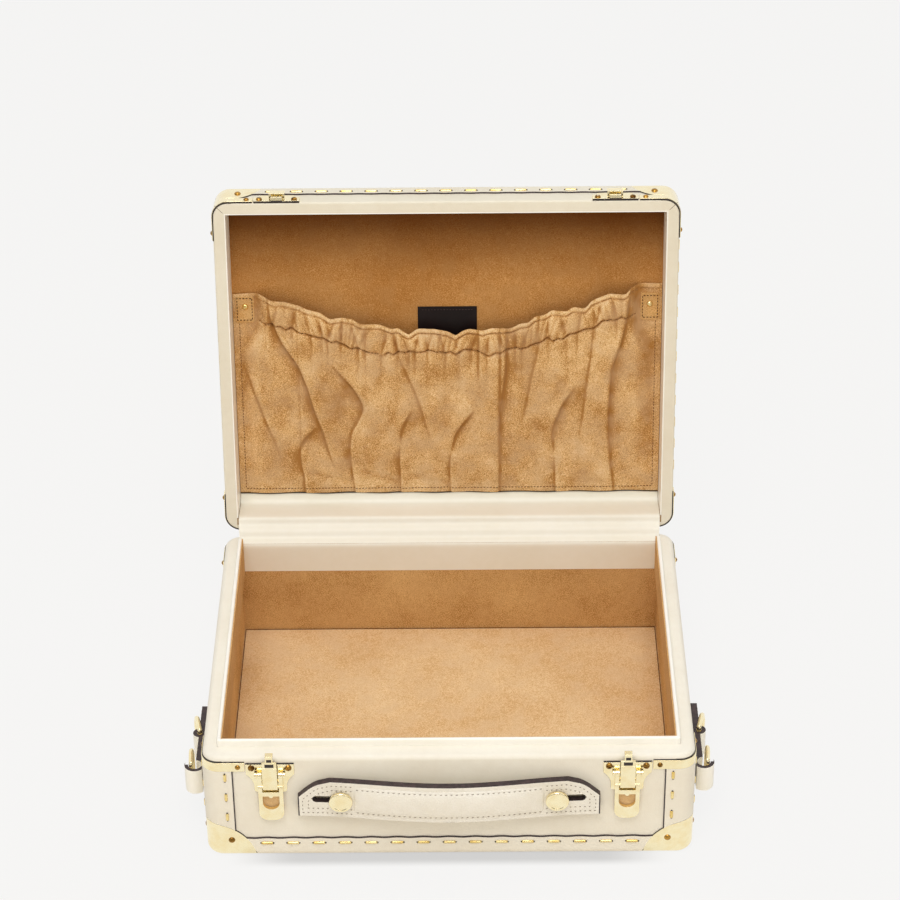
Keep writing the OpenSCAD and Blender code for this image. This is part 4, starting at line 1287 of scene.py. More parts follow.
@dataclass
class Handle:
    """Strap with painted edges, stuffed grip, and two bare knobs that hold it."""

    sizes: CaseSizes
    strap_half: float = 101.5
    knob_x: float = 72.5
    knob_z: float = 55.5
    knob_r: float = 7.9
    knob_gap: float = 1.0
    strap_h: float = 30.0
    strap_t: float = 5.0
    shoulder_x: float = 75.0
    shoulder_r: float = 5.5
    bow: float = 7.8
    end_gap: float = 1.2
    grip_h: float = 23.0
    grip_t: float = 2.9
    seam: float = 0.87
    seam_pitch: float = 3.5

    def back_of_strap(self, x: Array) -> Array:
        """Distance of the strap's back from the wall: the end gap, and the bow times a raised cosine."""
        return self.end_gap + self.bow * (0.5 + 0.5 * np.cos(np.pi * x / self.strap_half))

    def strap(self, shop: Workshop) -> None:
        """The strap in two halves, each fixed to the case at its end and to the grip in the middle.

        Args:
            shop: the workshop.
        """
        for side in Side:
            obj = shop.carry("handle_strap", Slot.PALE, "handle", "edge", bevel=0.5, edge_axis=(0, 1, 0),
                             keep=False)
            obj.name = f"strap_half_{side.word}"
            half = bmesh.new()
            half.from_mesh(obj.data)
            # Edges through the thickness at the two upper corners of the strap
            shoulders = [e for e in half.edges if min(v.co.z for v in e.verts) > (self.knob_z + 10) * MM
                         and abs(e.verts[0].co.y - e.verts[1].co.y) > 0.9 * e.calc_length() > 2 * MM
                         and min(abs(v.co.x) for v in e.verts) > self.shoulder_x * MM]
            bmesh.ops.bevel(half, geom=shoulders, offset=self.shoulder_r * MM, segments=6, profile=0.5,
                            affect="EDGES")
            half.normal_update()
            for face in half.faces:
                face.material_index = int(abs(face.normal.y) < 0.6)
            everything = half.verts[:] + half.edges[:] + half.faces[:]
            bmesh.ops.bisect_plane(half, geom=everything, plane_co=(0, 0, 0), plane_no=(-side.value, 0, 0),
                                   clear_outer=True)
            bmesh.ops.holes_fill(half, edges=[e for e in half.edges if e.is_boundary])
            half.to_mesh(obj.data)
            half.free()
            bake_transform(obj, "case", "handle", (side.value * 0.082, 0, 0), (side.value * 0.045, 0, 0))
            shop.settle(obj, Slot.PALE, None, "handle_strap")

    def end_seams(self, side: Side, inset: float) -> Surface:
        """A row of stitches that follows the outline of the strap's end at an even distance.

        Each corner moves in by the sum of its two edges' normals over 1 plus their product.

        Args:
            side: which end.
            inset: distance from the outline.

        Returns:
            The stitches.
        """
        end = self.strap_half
        # Outline of the strap's end, from the knob's side round to it again, up from the lower edge
        corners = np.array([[64.0, 0], [end, 0], [end, 16], [end - 11, 26.5], [end - 22, 30], [64.0, 30]])
        edges = unit(np.diff(corners, axis=0))
        inward = np.stack([-edges[:, 1], edges[:, 0]], -1)
        first, second = inward[[0, 0, 1, 2, 3, 4]], inward[[0, 1, 2, 3, 4, 4]]
        moved = corners + inset * (first + second) / (1 + (first * second).sum(1, keepdims=True))
        x = np.concatenate([np.linspace(a, b, 20) for a, b in zip(moved[:-1, 0], moved[1:, 0])])
        z = np.concatenate([np.linspace(a, b, 20) for a, b in zip(moved[:-1, 1], moved[1:, 1])])
        front = -self.sizes.half_d - self.back_of_strap(x) - self.strap_t - 0.02
        path = np.stack([side.value * x, front, self.knob_z - self.strap_h / 2 + z], -1)
        places, heading = along_line(path, 3.2)
        out = np.tile([0.0, -1.0, 0.0], (len(places), 1))
        return stitch_row(places, heading, out, 1.3, 0.5)

    def grip_points(self, along: Array, across: Array, proud: float = 0.0) -> Array:
        """Front of the stuffed grip, which lies flush on the strap and swells between its seams.

        Its fullness along is the 0.7 power of 1 less the eighth power of the distance from its middle, and
        across the 0.8 power of 1 less the 2.6th power. The edges are pinched flat where the seams run.

        Args:
            along: share of the length, -1 to 1.
            across: share of the height, -1 to 1.
            proud: distance out of the surface.

        Returns:
            Points in mm.
        """
        half = self.knob_x - self.knob_r - self.knob_gap
        full = np.clip(1 - np.abs(along) ** 8, 0, 1) ** 0.7
        crown = np.clip(1 - np.abs(across) ** 2.6, 0, 1) ** 0.8
        seam = 0.22 * hump(np.abs(across) - self.seam, 0.05) * full
        wave = 0.1 * np.sin(2 * np.pi * along * half / self.seam_pitch)
        pucker = wave * hump(np.abs(across) - self.seam, 0.16)
        thick = 0.1 + (self.grip_t - 0.1) * crown * full - seam + pucker * full + proud
        x = along * half
        y = -self.sizes.half_d - self.back_of_strap(x) - self.strap_t - np.maximum(thick, 0.06)
        return np.stack(np.broadcast_arrays(x, y, self.knob_z + across * 0.5 * self.grip_h), -1)

    def grip(self, shop: Workshop) -> None:
        """The stuffed grip as a closed form, the stitches along its edges, and the strap's painted ends.

        Args:
            shop: the workshop.
        """
        along, across = np.meshgrid(np.linspace(-1, 1, 241), np.sin(np.linspace(-0.5, 0.5, 41) * np.pi),
                                    indexing="ij")
        front = self.grip_points(along, across)
        flat = front[:, ::-1].copy()
        flat[..., 1] = -self.sizes.half_d - self.back_of_strap(flat[..., 0]) - self.strap_t + 0.05
        pad = Surface.grid(np.concatenate([front, flat[:, 1:-1]], axis=1), wrap=True, ends=True)
        obj = shop.add("stuffed_grip", pad, "handle", smooth=60)
        shop.settle(obj, Slot.PALE, "handle", "handle_grip")
        rows = []
        for edge in (-1, 1):
            line = self.grip_points(np.linspace(-0.99, 0.99, 200), np.full(200, self.seam * edge))
            places, heading = along_line(line, self.seam_pitch)
            out = unit(np.cross(heading, [0, 0, 1.0]))
            out = out * -np.sign(out[:, 1:2])
            rows.append(stitch_row(places, heading, out, 1.7, 0.5))
        shop.settle(shop.add("grip_stitches", rows, "seam_thread"), Slot.PALE, "handle")
        for side in Side:
            z = np.linspace(-self.strap_h / 2 + 0.3, 1.3, 24) + self.knob_z
            x = self.strap_half - 0.45
            front = -self.sizes.half_d - self.back_of_strap(x) - self.strap_t
            path = np.stack(np.broadcast_arrays(side.value * x, front, z), -1)
            profile = np.array([[-0.4, -0.1], [0.4, -0.1], [0.4, 0.1], [-0.4, 0.1]])
            paint = Surface.tube(path, np.tile([0.0, -1.0, 0.0], (24, 1)), profile)
            obj = shop.add(f"strap_end_paint_{side.word}", paint, "edge")
            shop.settle(obj, Slot.PALE, "case")
            rows = [self.end_seams(side, inset) for inset in (3.2, 7.0)]
            obj = shop.add(f"strap_stitches_{side.word}", rows, "seam_thread")
            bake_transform(obj, "case", "handle", (side.value * 0.082, 0, 0), (side.value * 0.045, 0, 0))
            shop.settle(obj, Slot.PALE, None)

    def knob(self, shop: Workshop, side: Side) -> None:
        """A turned knob: stem, round back, plain face inside a raised ring.

        Args:
            shop: the workshop.
            side: which knob.
        """
        node = f"handle_knob_{side.word}"
        low, high = in_mm(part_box(node))
        front, back = low[1], high[1]
        radius = (high[0] - low[0]) / 2
        centre_x, centre_z = (low[0] + high[0]) / 2, (low[2] + high[2]) / 2
        # Shares of the radius and depths behind the front: face, raised ring and rounded rim, then the stem
        rings = np.array([[0, 0.35], [0.62, 0.35], [0.7, 0.42], [0.74, 0.25], [0.78, 0.02], [0.86, 0],
                          [0.94, 0.12], [0.99, 0.5], [1, 1.0], [1, 2.0], [0.97, 2.6], [0.9, 3.0]])
        r = np.concatenate([rings[:, 0] * radius, [3.4, 2.2, 2.2, 0]])
        out = np.concatenate([rings[:, 1], [3.0, 3.0, back - front, back - front]])
        angle = np.linspace(0, 2 * np.pi, 49)[:-1]
        points = np.stack([
            centre_x + r[:, None] * np.cos(angle),
            np.broadcast_to((front + out)[:, None], (len(r), 48)),
            centre_z + r[:, None] * np.sin(angle)], -1)
        turned = shop.add(f"knob_{side.word}", Surface.grid(points, wrap=True), "brass", smooth=40)
        shell = bmesh.new()
        shell.from_mesh(turned.data)
        bmesh.ops.remove_doubles(shell, verts=shell.verts, dist=1e-6)
        bmesh.ops.recalc_face_normals(shell, faces=shell.faces)
        shell.to_mesh(turned.data)
        shell.free()
        shop.settle(turned, Slot.BRASS, "case", node)

    def build(self, shop: Workshop) -> None:
        """Makes the handle.

        Args:
            shop: the workshop.
        """
        self.strap(shop)
        self.grip(shop)
        for side in Side:
            self.knob(shop, side)
        shop.carry("handle_nuts", Slot.BRASS, "brass", bevel=0.2)


# Latches, hinges and side straps


@dataclass
class Latches:
    """Two draw latches with their keepers on the lid."""

    neck: float = 81.4
    head: float = 86.0
    head_half: float = 4.9
    # Painted shade: dark blocks for the windows in the head and in the hook over it: half width, depth,
    # heights from the head's top
    windows: tuple = ((3.0, 0.4, -3.6, -0.9), (1.7, 0.3, 0.9, 3.2))
    # Painted shade: a tan sheet for the shaded leather seen through the lever's hole, its heights measured
    # from the lever's foot
    pad_half: float = 7.2
    pad_low: float = 8.5
    pad_high: float = 24.5

    def window(self, shop: Workshop, side: Side) -> None:
        """The head of the tongue with dark blocks of painted shade in its windows, and a tan sheet of painted
        shade behind the lever.

        Args:
            shop: the workshop.
            side: which latch.
        """
        low, high = in_mm(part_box(f"latch_tongue_{side.word}"))
        x, front = (low[0] + high[0]) / 2, low[1]
        body = shop.body_of(f"latch_tongue_{side.word}")
        plate = Surface.block((x - self.head_half, front + 0.1, self.neck - 1),
                              (x + self.head_half, front + 1.6, self.head))
        head = shop.add(f"tongue_head_{side.word}", plate, "brass", smooth=30)
        eased_edge = head.modifiers.new("Eased edges", "BEVEL")
        eased_edge.width = 0.3 * MM
        eased_edge.segments = 2
        shop.settle(head, Slot.BRASS, body)
        holes = [Surface.block((x - half, front - 0.05, self.head + bottom),
                               (x + half, front + deep, self.head + top))
                 for half, deep, bottom, top in self.windows]
        dark = shop.add(f"tongue_windows_{side.word}", holes, "gap")
        shop.settle(dark, Slot.BRASS, body)
        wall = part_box(f"latch_plate_{side.word}")[1][1] / MM
        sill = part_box(f"latch_lever_{side.word}")[0][2] / MM
        pad = Surface.block((x - self.pad_half, wall - 0.6, sill + self.pad_low),
                            (x + self.pad_half, wall - 0.02, sill + self.pad_high))
        shop.settle(shop.add(f"lever_pad_{side.word}", pad, "floor"), Slot.SUEDE,
                    shop.body_of(f"latch_plate_{side.word}"))

    def build(self, shop: Workshop) -> None:
        """Carries the stamped and turned pieces over with eased edges.

        Args:
            shop: the workshop.
        """
        for side in Side:
            for part, bevel in (("latch_plate", 0.2), ("latch_lever", 0.35), ("latch_tongue", 0.25),
                                ("tongue_pin", 0.0)):
                shop.carry(f"{part}_{side.word}", Slot.BRASS, "brass", bevel=bevel)
            self.window(shop, side)
        shop.carry("latch_pivot_pins", Slot.BRASS, "brass")
        shop.carry("keepers", Slot.BRASS, "brass", bevel=0.2)
        for node in ("latch_screws", "keeper_screws"):
            RoundHeads(node, slotted=True).build(shop)


@dataclass
class Hinges:
    """Two butt hinges on the back, and the leather that hides the gap inside."""

    sizes: CaseSizes
    lid: LidSpace
    half_body: float = 154.9
    half_lid: float = 155.7
    thickness: float = 0.9
    # Bend round the hinge's axis, and the angle at which the strip leaves it for the lid
    bend_r: float = 6.2
    bend_end: float = 79.0
    # Strip on the body: distance from the back face and height; on the lid: places u and v
    on_body: tuple = ((10.85, 61.0), (10.85, 70.0), (10.85, 80.0), (10.7, 84.6), (10.1, 85.8), (9.0, 86.15),
                      (6.5, 86.15), (3.5, 86.1))
    on_lid: tuple = ((7.0, 0.15), (9.0, 0.05), (9.22, 2.0), (9.22, 8.0), (9.22, 14.0), (9.22, 20.0),
                     (9.22, 25.5), (9.5, 26.6), (10.3, 27.1), (12.0, 27.15), (16.6, 27.15))

    def leather(self, shop: Workshop) -> None:
        """One strip of leather up the body's back wall, over its rim, round the hinge and along the lid.

        The path is a chain of straight runs whose corners are rounded, and an arc about the hinge's axis.

        Args:
            shop: the workshop.
        """
        back = self.sizes.half_d
        body = np.array([[back - inward, height] for inward, height in self.on_body])
        axis = np.array([self.lid.axis_y, self.lid.axis_z])
        start = math.atan2(body[-1, 1] - axis[1], body[-1, 0] - axis[0])
        start += 0 if start > 0 else 2 * math.pi
        sweep = np.linspace(start, math.radians(self.bend_end), 14)[1:]
        arc = axis + self.bend_r * np.stack([np.cos(sweep), np.sin(sweep)], -1)
        u, v = np.array(self.on_lid).T
        lid = self.lid.place(0.0, u, v)[:, 1:]
        path = self.smoothed(np.concatenate([body, arc, lid]))
        share = np.linspace(0, 1, len(path))
        half = self.half_body + (self.half_lid - self.half_body) * eased((share - 0.35) / 0.2)
        along = unit(np.gradient(path, axis=0))
        out = np.stack([-along[:, 1], along[:, 0]], -1)
        columns = np.linspace(-1, 1, 41)
        face = np.stack([half[:, None] * columns, np.broadcast_to(path[:, :1], (len(path), 41)),
                         np.broadcast_to(path[:, 1:], (len(path), 41))], -1)
        away = np.stack([np.zeros((len(path), 41)), np.broadcast_to(out[:, :1], (len(path), 41)),
                         np.broadcast_to(out[:, 1:], (len(path), 41))], -1)
        obj = shop.add("hinge_leather", Surface.cloth(face, away, self.thickness), "hinge", smooth=60)
        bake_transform(obj, "case", "lid", (0, (back - 3.5) * MM, 0.0861), tuple(np.array([0, *arc[-1]]) * MM))
        shop.settle(obj, Slot.PALE, None, "hinge_leather_body", "hinge_leather_lid")

    @staticmethod
    def smoothed(path: Array) -> Array:
        """Puts a point about every 1.2 mm on the path and averages each with its neighbours five times.

        Args:
            path: corner points of the path.

        Returns:
            The finer, rounder path.
        """
        run = np.concatenate([[0], np.cumsum(np.linalg.norm(np.diff(path, axis=0), axis=1))])
        fine = np.linspace(0, run[-1], int(run[-1] / 1.2))
        path = np.stack([np.interp(fine, run, path[:, k]) for k in range(2)], -1)
        for _ in range(5):
            path[1:-1] = 0.25 * path[:-2] + 0.5 * path[1:-1] + 0.25 * path[2:]
        return path

    def build(self, shop: Workshop) -> None:
        """Makes the hinges and their leather.

        Args:
            shop: the workshop.
        """
        for node in ("hinge_leaves_body", "hinge_leaves_lid", "hinge_pins"):
            shop.carry(node, Slot.BRASS, "brass", bevel=0.2)
        for node in ("hinge_screws_body", "hinge_screws_lid"):
            RoundHeads(node, slotted=True).build(shop)
        self.leather(shop)


@dataclass
class SideStraps:
    """Rolled straps at the sides with their dark backings and D-rings."""

    sizes: CaseSizes
    low: float = 30.0
    high: float = 50.0
    out: float = 8.6
    start: float = 44.0
    reach: float = 99.5

    def build(self, shop: Workshop) -> None:
        """Makes straps, backings, rings and the stitches along the straps.

        Args:
            shop: the workshop.
        """
        shop.carry("side_pads", Slot.DARK, "edge", bevel=0.3)
        for side in Side:
            strap = shop.carry(f"side_strap_{side.word}", Slot.PALE, "edge", "pale", bevel=0.4,
                               edge_axis=(0, 0, 1), smooth=30)
            strap.name = f"side_strap_piece_{side.word}"
            for end in ("rear", "front"):
                shop.carry(f"ring_{side.word}_{end}", Slot.BRASS, "brass", smooth=60)
            x = side.value * (self.sizes.half_w + self.out)
            rows = []
            for height in (self.low + 2, self.high - 2):
                line = np.array([[x, -self.sizes.half_d + self.start, height],
                                 [x, -self.sizes.half_d + self.reach - 2, height]])
                places, heading = along_line(line, 3.3)
                out = np.tile([float(side.value), 0.0, 0.0], (len(places), 1))
                rows.append(stitch_row(places, heading, out, 2.2, 0.5))
            obj = shop.add(f"side_strap_stitches_{side.word}", rows, "cream_thread")
            shop.settle(obj, Slot.PALE, "case")


# Pocket


@dataclass(frozen=True)
class Fold:
    """A long fold of the pocket.

    Its line has places (x, u, step) from its foot up. The cloth steps up by step on the way to the right,
    or down where step is below 0.
    """

    line: tuple
    low: float = 8.0
    high: float = 13.0
    crest: float = 0.42
    steep: float = 0.8

    def across(self, x: Array, u: Array) -> tuple[Array, Array]:
        """Distance from the fold's line, above 0 on its high side, and the step there.

        Args:
            x: places along the pocket.
            u: places up the pocket.

        Returns:
            Distances and steps in mm.
        """
        line = np.array(self.line)
        middle = sum(w * np.interp(u + d, line[:, 1], line[:, 0])
                     for w, d in ((0.25, -4), (0.5, 0), (0.25, 4)))
        slope = (np.interp(u + 4, line[:, 1], line[:, 0]) - np.interp(u - 4, line[:, 1], line[:, 0])) / 8
        step = np.interp(u, line[:, 1], line[:, 2])
        return (x - middle) / np.sqrt(1 + slope ** 2) * np.where(step < 0, -1, 1), step

    def shade(self, x: Array, u: Array) -> Array:
        """Painted shade of the fold: a thin dark line in the crease and a broad fade over its low side.

        Args:
            x: places along the pocket.
            u: places up the pocket.

        Returns:
            Darkness between 0 and about 0.4.
        """
        away, step = self.across(x, u)
        size = np.abs(step)
        broad = np.where(away < 0, np.exp(np.minimum(away, 0) / 11), np.exp(-np.maximum(away, 0)))
        return 0.24 * hump(away, 0.8) * np.clip(size / 1.4, 0, 1) + 0.13 * broad * np.clip(size / 5, 0, 1)

    def height(self, x: Array, u: Array) -> Array:
        """Height that the fold adds.

        With d the distance into its high side, it is minus (1 - crest) steps at d = 0 and fades as e to the
        power of d / low on the low side. The high side rises out of that over steep, to crest steps, which
        fade as e to the power of minus the square of d / high.

        Args:
            x: places along the pocket.
            u: places up the pocket.

        Returns:
            Heights in mm.
        """
        away, step = self.across(x, u)
        inside, outside = np.maximum(away, 0), np.minimum(away, 0)
        settle = np.exp(-inside / self.steep)
        over = self.crest * np.exp(-(inside / self.high) ** 2) * (1 - settle) - (1 - self.crest) * settle
        return np.abs(step) * np.where(away < 0, -(1 - self.crest) * np.exp(outside / self.low), over)


@dataclass
class Pocket:
    """Gathered suede pocket of the lid, with its patches, rivets, seams and label."""

    lid: LidSpace
    half_w: float = 155.6
    low: float = 17.3
    floor_v: float = 28.0
    thickness: float = 1.1
    bulge: float = 8.8
    rim: float = 3.6
    # Side way of the puckers' ends, height of the puffs between them, and depth of the crinkles
    sway: float = 5.4
    puff: float = 3.1
    crinkle: float = 0.5
    # Corner patches and label stitches
    patch_h: float = 23.0
    patch_low: float = 154.2
    label_half: float = 19.0
    label_u: float = 162.6
    label_v: float = 27.42
    # Measured course of the mouth, and of the seam under the elastic
    mouth: tuple = (
        (-156, 176), (-140, 177), (-131, 176.5), (-127, 173.5), (-117, 173), (-106, 169.5), (-102, 167),
        (-92, 164.5), (-85, 159), (-77, 160.5), (-68, 159), (-63, 155), (-49, 155), (-40, 151),
        (-36, 152.5), (-31, 148.5), (-28, 146.5), (-22, 151.5), (-9, 151), (1, 149), (6, 145.5),
        (10, 149), (15, 151), (26, 149.5), (32, 151.5), (46, 151), (52, 154.5), (59, 155.5), (63, 160),
        (71, 161.5), (75, 165), (87, 164), (91, 167.5), (100, 166), (104, 172), (112, 175.5),
        (117, 177.5), (129, 176.5), (132, 181), (142, 182.5), (156, 182))
    seam: tuple = (
        (-156, 160), (-125, 154), (-119, 153), (-112, 151.5), (-101, 147), (-96, 146), (-89, 142.5),
        (-80, 141), (-69, 136), (-56, 132.5), (-46, 130.5), (-36, 132.5), (-26, 133.5), (-5, 133),
        (5, 131.5), (16, 134.5), (32, 130.5), (42, 133.5), (58, 136), (67, 139), (73, 143.5), (79, 140.5),
        (87, 145), (96, 147.5), (105, 150.5), (113, 156.5), (121, 157.5), (156, 162))
    # Puckers of the tunnel, along it
    puckers: tuple = (
        -146, -134.5, -125, -111, -101.5, -92, -85, -77, -67.5, -60, -46, -37.5, -30.5, -22.5, -13, -4, 7,
        19.5, 29, 40, 49, 56.5, 73, 84, 95.5, 109.5, 121, 132, 146)
    folds: tuple = (
        Fold(((-84, 36, 0), (-86.5, 44, 0.8), (-90, 56, 2.4), (-94, 71, 4.6), (-99, 85, 6.0),
              (-103.5, 104, 6.6), (-110, 123, 6.2), (-119, 136, 5.6), (-124, 147, 4.8), (-128.5, 160, 4),
              (-130, 173, 3)), 10, 14),
        Fold(((-122, 42, 0), (-125.5, 50, 0.6), (-128, 60, 1.3), (-134, 75, 2.0), (-138.5, 89, 2.2),
              (-143, 102, 2.1), (-146.5, 113, 1.6), (-150, 121, 0.8), (-153, 128, 0)), 4, 9),
        Fold(((-70.5, 22, 1.6), (-72.5, 39, 2.2), (-73.5, 52, 1.9), (-72, 67, 1.7), (-66.5, 77.5, 2.6),
              (-62, 87.5, 4.6), (-66, 96.5, 5.4), (-71.5, 105.5, 4.6), (-80, 116, 2.8), (-86, 123.5, 0)),
              8, 12),
        Fold(((-107.5, 22, 1.6), (-108, 32, 2.2), (-110.3, 43, 2.4), (-110.4, 51, 2.4),
              (-109.2, 56, 0.5)), 5, 10),
        Fold(((-109.5, 54, 0), (-109, 57, -1.5), (-106, 62, -3.6), (-101.5, 66, -3.0), (-96, 72, 0)), 6,
              8),
        Fold(((-36.2, 22, 1.5), (-36.5, 36, 2.1), (-37, 46, 1.9), (-35.6, 58, 0)), 5, 12),
        Fold(((-35.6, 58, 0), (-34.8, 68, -1.8), (-31, 76.5, -2.8), (-26, 86, 0)), 8, 8),
        Fold(((-13, 60, 0), (-15, 68, 0.8), (-18, 78, 1.8), (-21, 89.5, 2.4), (-25, 102.5, 2.6),
              (-30, 114, 2.2), (-34, 124, 1.4), (-37, 133, 0.6)), 9, 11, 0.5, 2.2),
        Fold(((1, 22, 1.6), (0.3, 37, 1.9), (1, 47, 1.1), (2, 51, 0)), 5, 12),
        Fold(((2, 51, 0), (4, 59, -2.2), (6.5, 67.5, -3.8), (12.5, 75.5, -3.2), (20, 86, 0)), 9, 12),
        Fold(((37.7, 22, -1.4), (37.9, 37, -1.6), (38, 52, -1.6)), 7, 12),
        Fold(((38, 52, 0), (38, 66, -1.9), (38.3, 83, -2.3), (40, 91.5, -2.6), (41.7, 106, -3.0),
              (43, 120, -4.2), (43, 140, -4.2)), 9, 15),
        Fold(((22.3, 108, 0), (22.3, 118, 1.6), (22.4, 140, 3.4)), 7, 10),
        Fold(((78.8, 22, 1.5), (78.5, 36.5, 1.9), (77.8, 48, 0)), 5, 12),
        Fold(((77.8, 48, 0), (76.9, 62, -1.8), (77, 67, -3.2), (79, 75, -4.8), (82, 82, -5.2),
              (84.5, 89, -4.2), (88, 95, -2.2), (94, 104, 0)), 10, 13),
        Fold(((122.5, 18, -0.8), (121.7, 27.5, -1.5), (120, 42, -2.3), (119, 60, -3.4), (118.5, 77, -4.0),
              (119, 94, -4.3), (119.8, 111, -4.4), (121, 121, -4.4), (125, 132.5, -4.3),
              (128, 143.5, -4.1), (130, 154, -3.8), (132, 167, -3.4), (133, 178, -2.8)), 7, 15),
        Fold(((53, 70, 0), (57, 88, 1.2), (60, 108, 1.7), (64, 126, 1.6), (66, 140, 1.2)), 10, 12, 0.5,
              3.0),
        Fold(((96, 60, 0), (99, 84, 1.4), (101, 104, 1.9), (104, 126, 1.7), (106, 150, 1.2)), 10, 12, 0.5,
              3.0),
    )
    # Slack above the hem: each runs down from its left end to its right one, to the foot of the next fold
    slack: tuple = ((-139, 28.5, -111, 25, 0.7), (-109, 35.5, -72, 25.5, 1.9), (-68, 36.5, -37, 25.5, 1.7),
                    (-35, 31.5, 0, 25, 1.1), (6, 29.5, 37, 25.5, 0.6), (42, 27.5, 78, 25, 0.5),
                    (84, 26.5, 121, 25, 0.9))

    @staticmethod
    def course(knots: tuple, x: Array) -> Array:
        """A measured course, its corners rounded over about 3 mm to both sides.

        Args:
            knots: places x and u of the course.
            x: places along the pocket.

        Returns:
            Heights u.
        """
        places = np.array(knots)
        shifts = np.linspace(-3, 3, 5)
        weights = hump(shifts, 1.8)
        heights = sum(w * np.interp(x + d, places[:, 0], places[:, 1]) for w, d in zip(weights, shifts))
        return heights / weights.sum()

    def edge_u(self, x: Array) -> Array:
        """Height u of the mouth at x."""
        return self.course(self.mouth, x)

    def seam_u(self, x: Array) -> Array:
        """Height u of the seam under the elastic at x, drawn up and down a little by the puckers."""
        drawn = 1.1 * np.sin(x / 1.9 + 1.5 * np.sin(x / 6.3)) * np.sin(x / 7.7 + 0.6)
        return self.course(self.seam, x) + drawn

    @staticmethod
    def hem(x: Array) -> Array:
        """Waver of the hem: a sine of 0.35 mm that repeats every 41 mm."""
        return 0.35 * np.sin(2 * np.pi * x / 41.0)

    def free(self, x: Array, u: Array) -> Array:
        """Share of the fullness that is left: none on the flat strips sewn down at the two ends.

        The strips are 5 mm wide below and 16 mm beside the corner patches, and the rise is eased over 14 mm
        below and 9 mm there.
        """
        upper = eased((u - 130) / 24)
        return eased((self.half_w - np.abs(x) - 5.0 - 11.2 * upper) / (14.0 - 5.0 * upper))

    def gathers(self, x: Array, lean: Array) -> Array:
        """Puffs between the puckers: the 0.65 power of a half sine, each of its own height and lean.

        Args:
            x: places along the pocket.
            lean: how far from the middle of the elastic, -0.5 to 0.5.

        Returns:
            Heights between 0 and 1.
        """
        marks = np.array(self.puckers)
        number = np.arange(len(marks))
        tilt = self.sway * np.sin(1.7 * number + 0.5)
        near = np.clip(np.searchsorted(marks, x) - 1, 0, len(marks) - 2)
        for _ in range(2):
            left = marks[near] + tilt[near] * lean
            right = marks[near + 1] + tilt[near + 1] * lean
            near = np.clip(near - (x < left) + (x > right), 0, len(marks) - 2)
        left = marks[near] + tilt[near] * lean
        right = marks[near + 1] + tilt[near + 1] * lean
        part = np.clip((x - left) / (right - left), 0, 1)
        full = 0.78 + 0.22 * np.sin(2.3 * near + 1.0)
        return full * np.sin(np.pi * part) ** 0.65

    def lift(self, x: Array, u: Array) -> Array:
        """Height of the cloth over the lining.

        Sum of the bulge, which grows with the height, two slow swells, the long folds, the slack above the
        hem, the rolled rim, the puffed and puckered tunnel of the elastic, and the pulls below its seam.

        Args:
            x: places along the pocket.
            u: places up the pocket.

        Returns:
            Heights in mm.
        """
        edge, seam = self.edge_u(x), self.seam_u(x)
        share = np.clip((u - self.low) / (edge - self.low), 0, 1)
        below = edge - u
        height = self.bulge * share ** 0.75 * (1 - 0.12 * share ** 6) + 0.5
        height += 0.6 * np.sin(x / 6.2 + u / 24 + 1.0) * np.sin(np.pi * np.clip(share / 0.86, 0, 1))
        height += 0.35 * np.sin(x / 3.1 - u / 9 + 2.0) * np.sin(np.pi * np.clip((share - 0.3) / 0.56, 0, 1))
        for fold in self.folds:
            height += fold.height(x, u) * eased((below + 2) / 14)
        for x_from, u_from, x_to, u_to, depth in self.slack:
            part = (x - x_from) / (x_to - x_from)
            away = u - (u_from + (u_to - u_from) * part)
            dent = np.where(away < 0, np.exp(np.minimum(away, 0) / 5.5), np.exp(-np.maximum(away, 0) / 1.3))
            height -= depth * dent * eased(part / 0.25) * (1 - eased((part - 0.985) / 0.02))
        # Rolled rim, then the tunnel down to the seam
        roll = np.clip(below / self.rim, 0, 1)
        inside = np.clip((below - self.rim) / (edge - seam - self.rim), 0, 1)
        puffs = self.gathers(x, inside - 0.5)
        arch = np.sqrt(np.clip(1 - (2 * inside - 1) ** 2, 0, 1))
        rolled = 1.3 * np.sqrt(np.clip(1 - (2 * roll - 1) ** 2, 0, 1)) * (below <= self.rim)
        tunnel = rolled * (0.7 + 0.3 * puffs)
        crinkle = np.abs(np.sin(x / 1.9 + 1.3 * np.sin(x / 5.7) + below / 4.5 * np.sin(x / 11 + 1.0)))
        tunnel += arch * (0.2 + self.puff * puffs + self.crinkle * crinkle ** 0.8)
        # Pulls of the gathers, gone at once above the seam and slowly below it
        pulls = 2.8 * (puffs - 0.62) * np.exp(-9 * np.maximum(u - seam, 0))
        pulls = (pulls + 0.5 * (crinkle - 0.6)) * np.exp(-np.maximum(seam - u, 0) / 9.5)
        height += tunnel + pulls - 1.8 * hump(u - seam, 1.1) - 0.6 * hump(below - self.rim - 0.4, 0.6)
        free = self.free(x, u)
        flat = 0.7 * rolled * (1 - free) * eased((self.half_w - np.abs(x)) / 3)
        return np.maximum(height, 0.0) * free + flat

    def point(self, x: Array, u: Array, proud: float = 0.0) -> Array:
        """Points of the cloth's face."""
        return self.lid.place(x, u, self.floor_v - self.thickness - self.lift(x, u) - proud)

    def outward(self, x: Array, u: Array) -> Array:
        """Unit vectors out of the cloth's face, from its slopes along x and u.

        Args:
            x: places along the pocket.
            u: places up the pocket.

        Returns:
            The vectors.
        """
        step = 0.4
        run = self.point(x + step, u) - self.point(x - step, u)
        climb = self.point(x, u + step) - self.point(x, u - step)
        out = unit(np.cross(run, climb))
        toward = self.lid.direction(0.0, 0.0, -1.0)
        return out * np.sign((out * toward).sum(-1, keepdims=True))

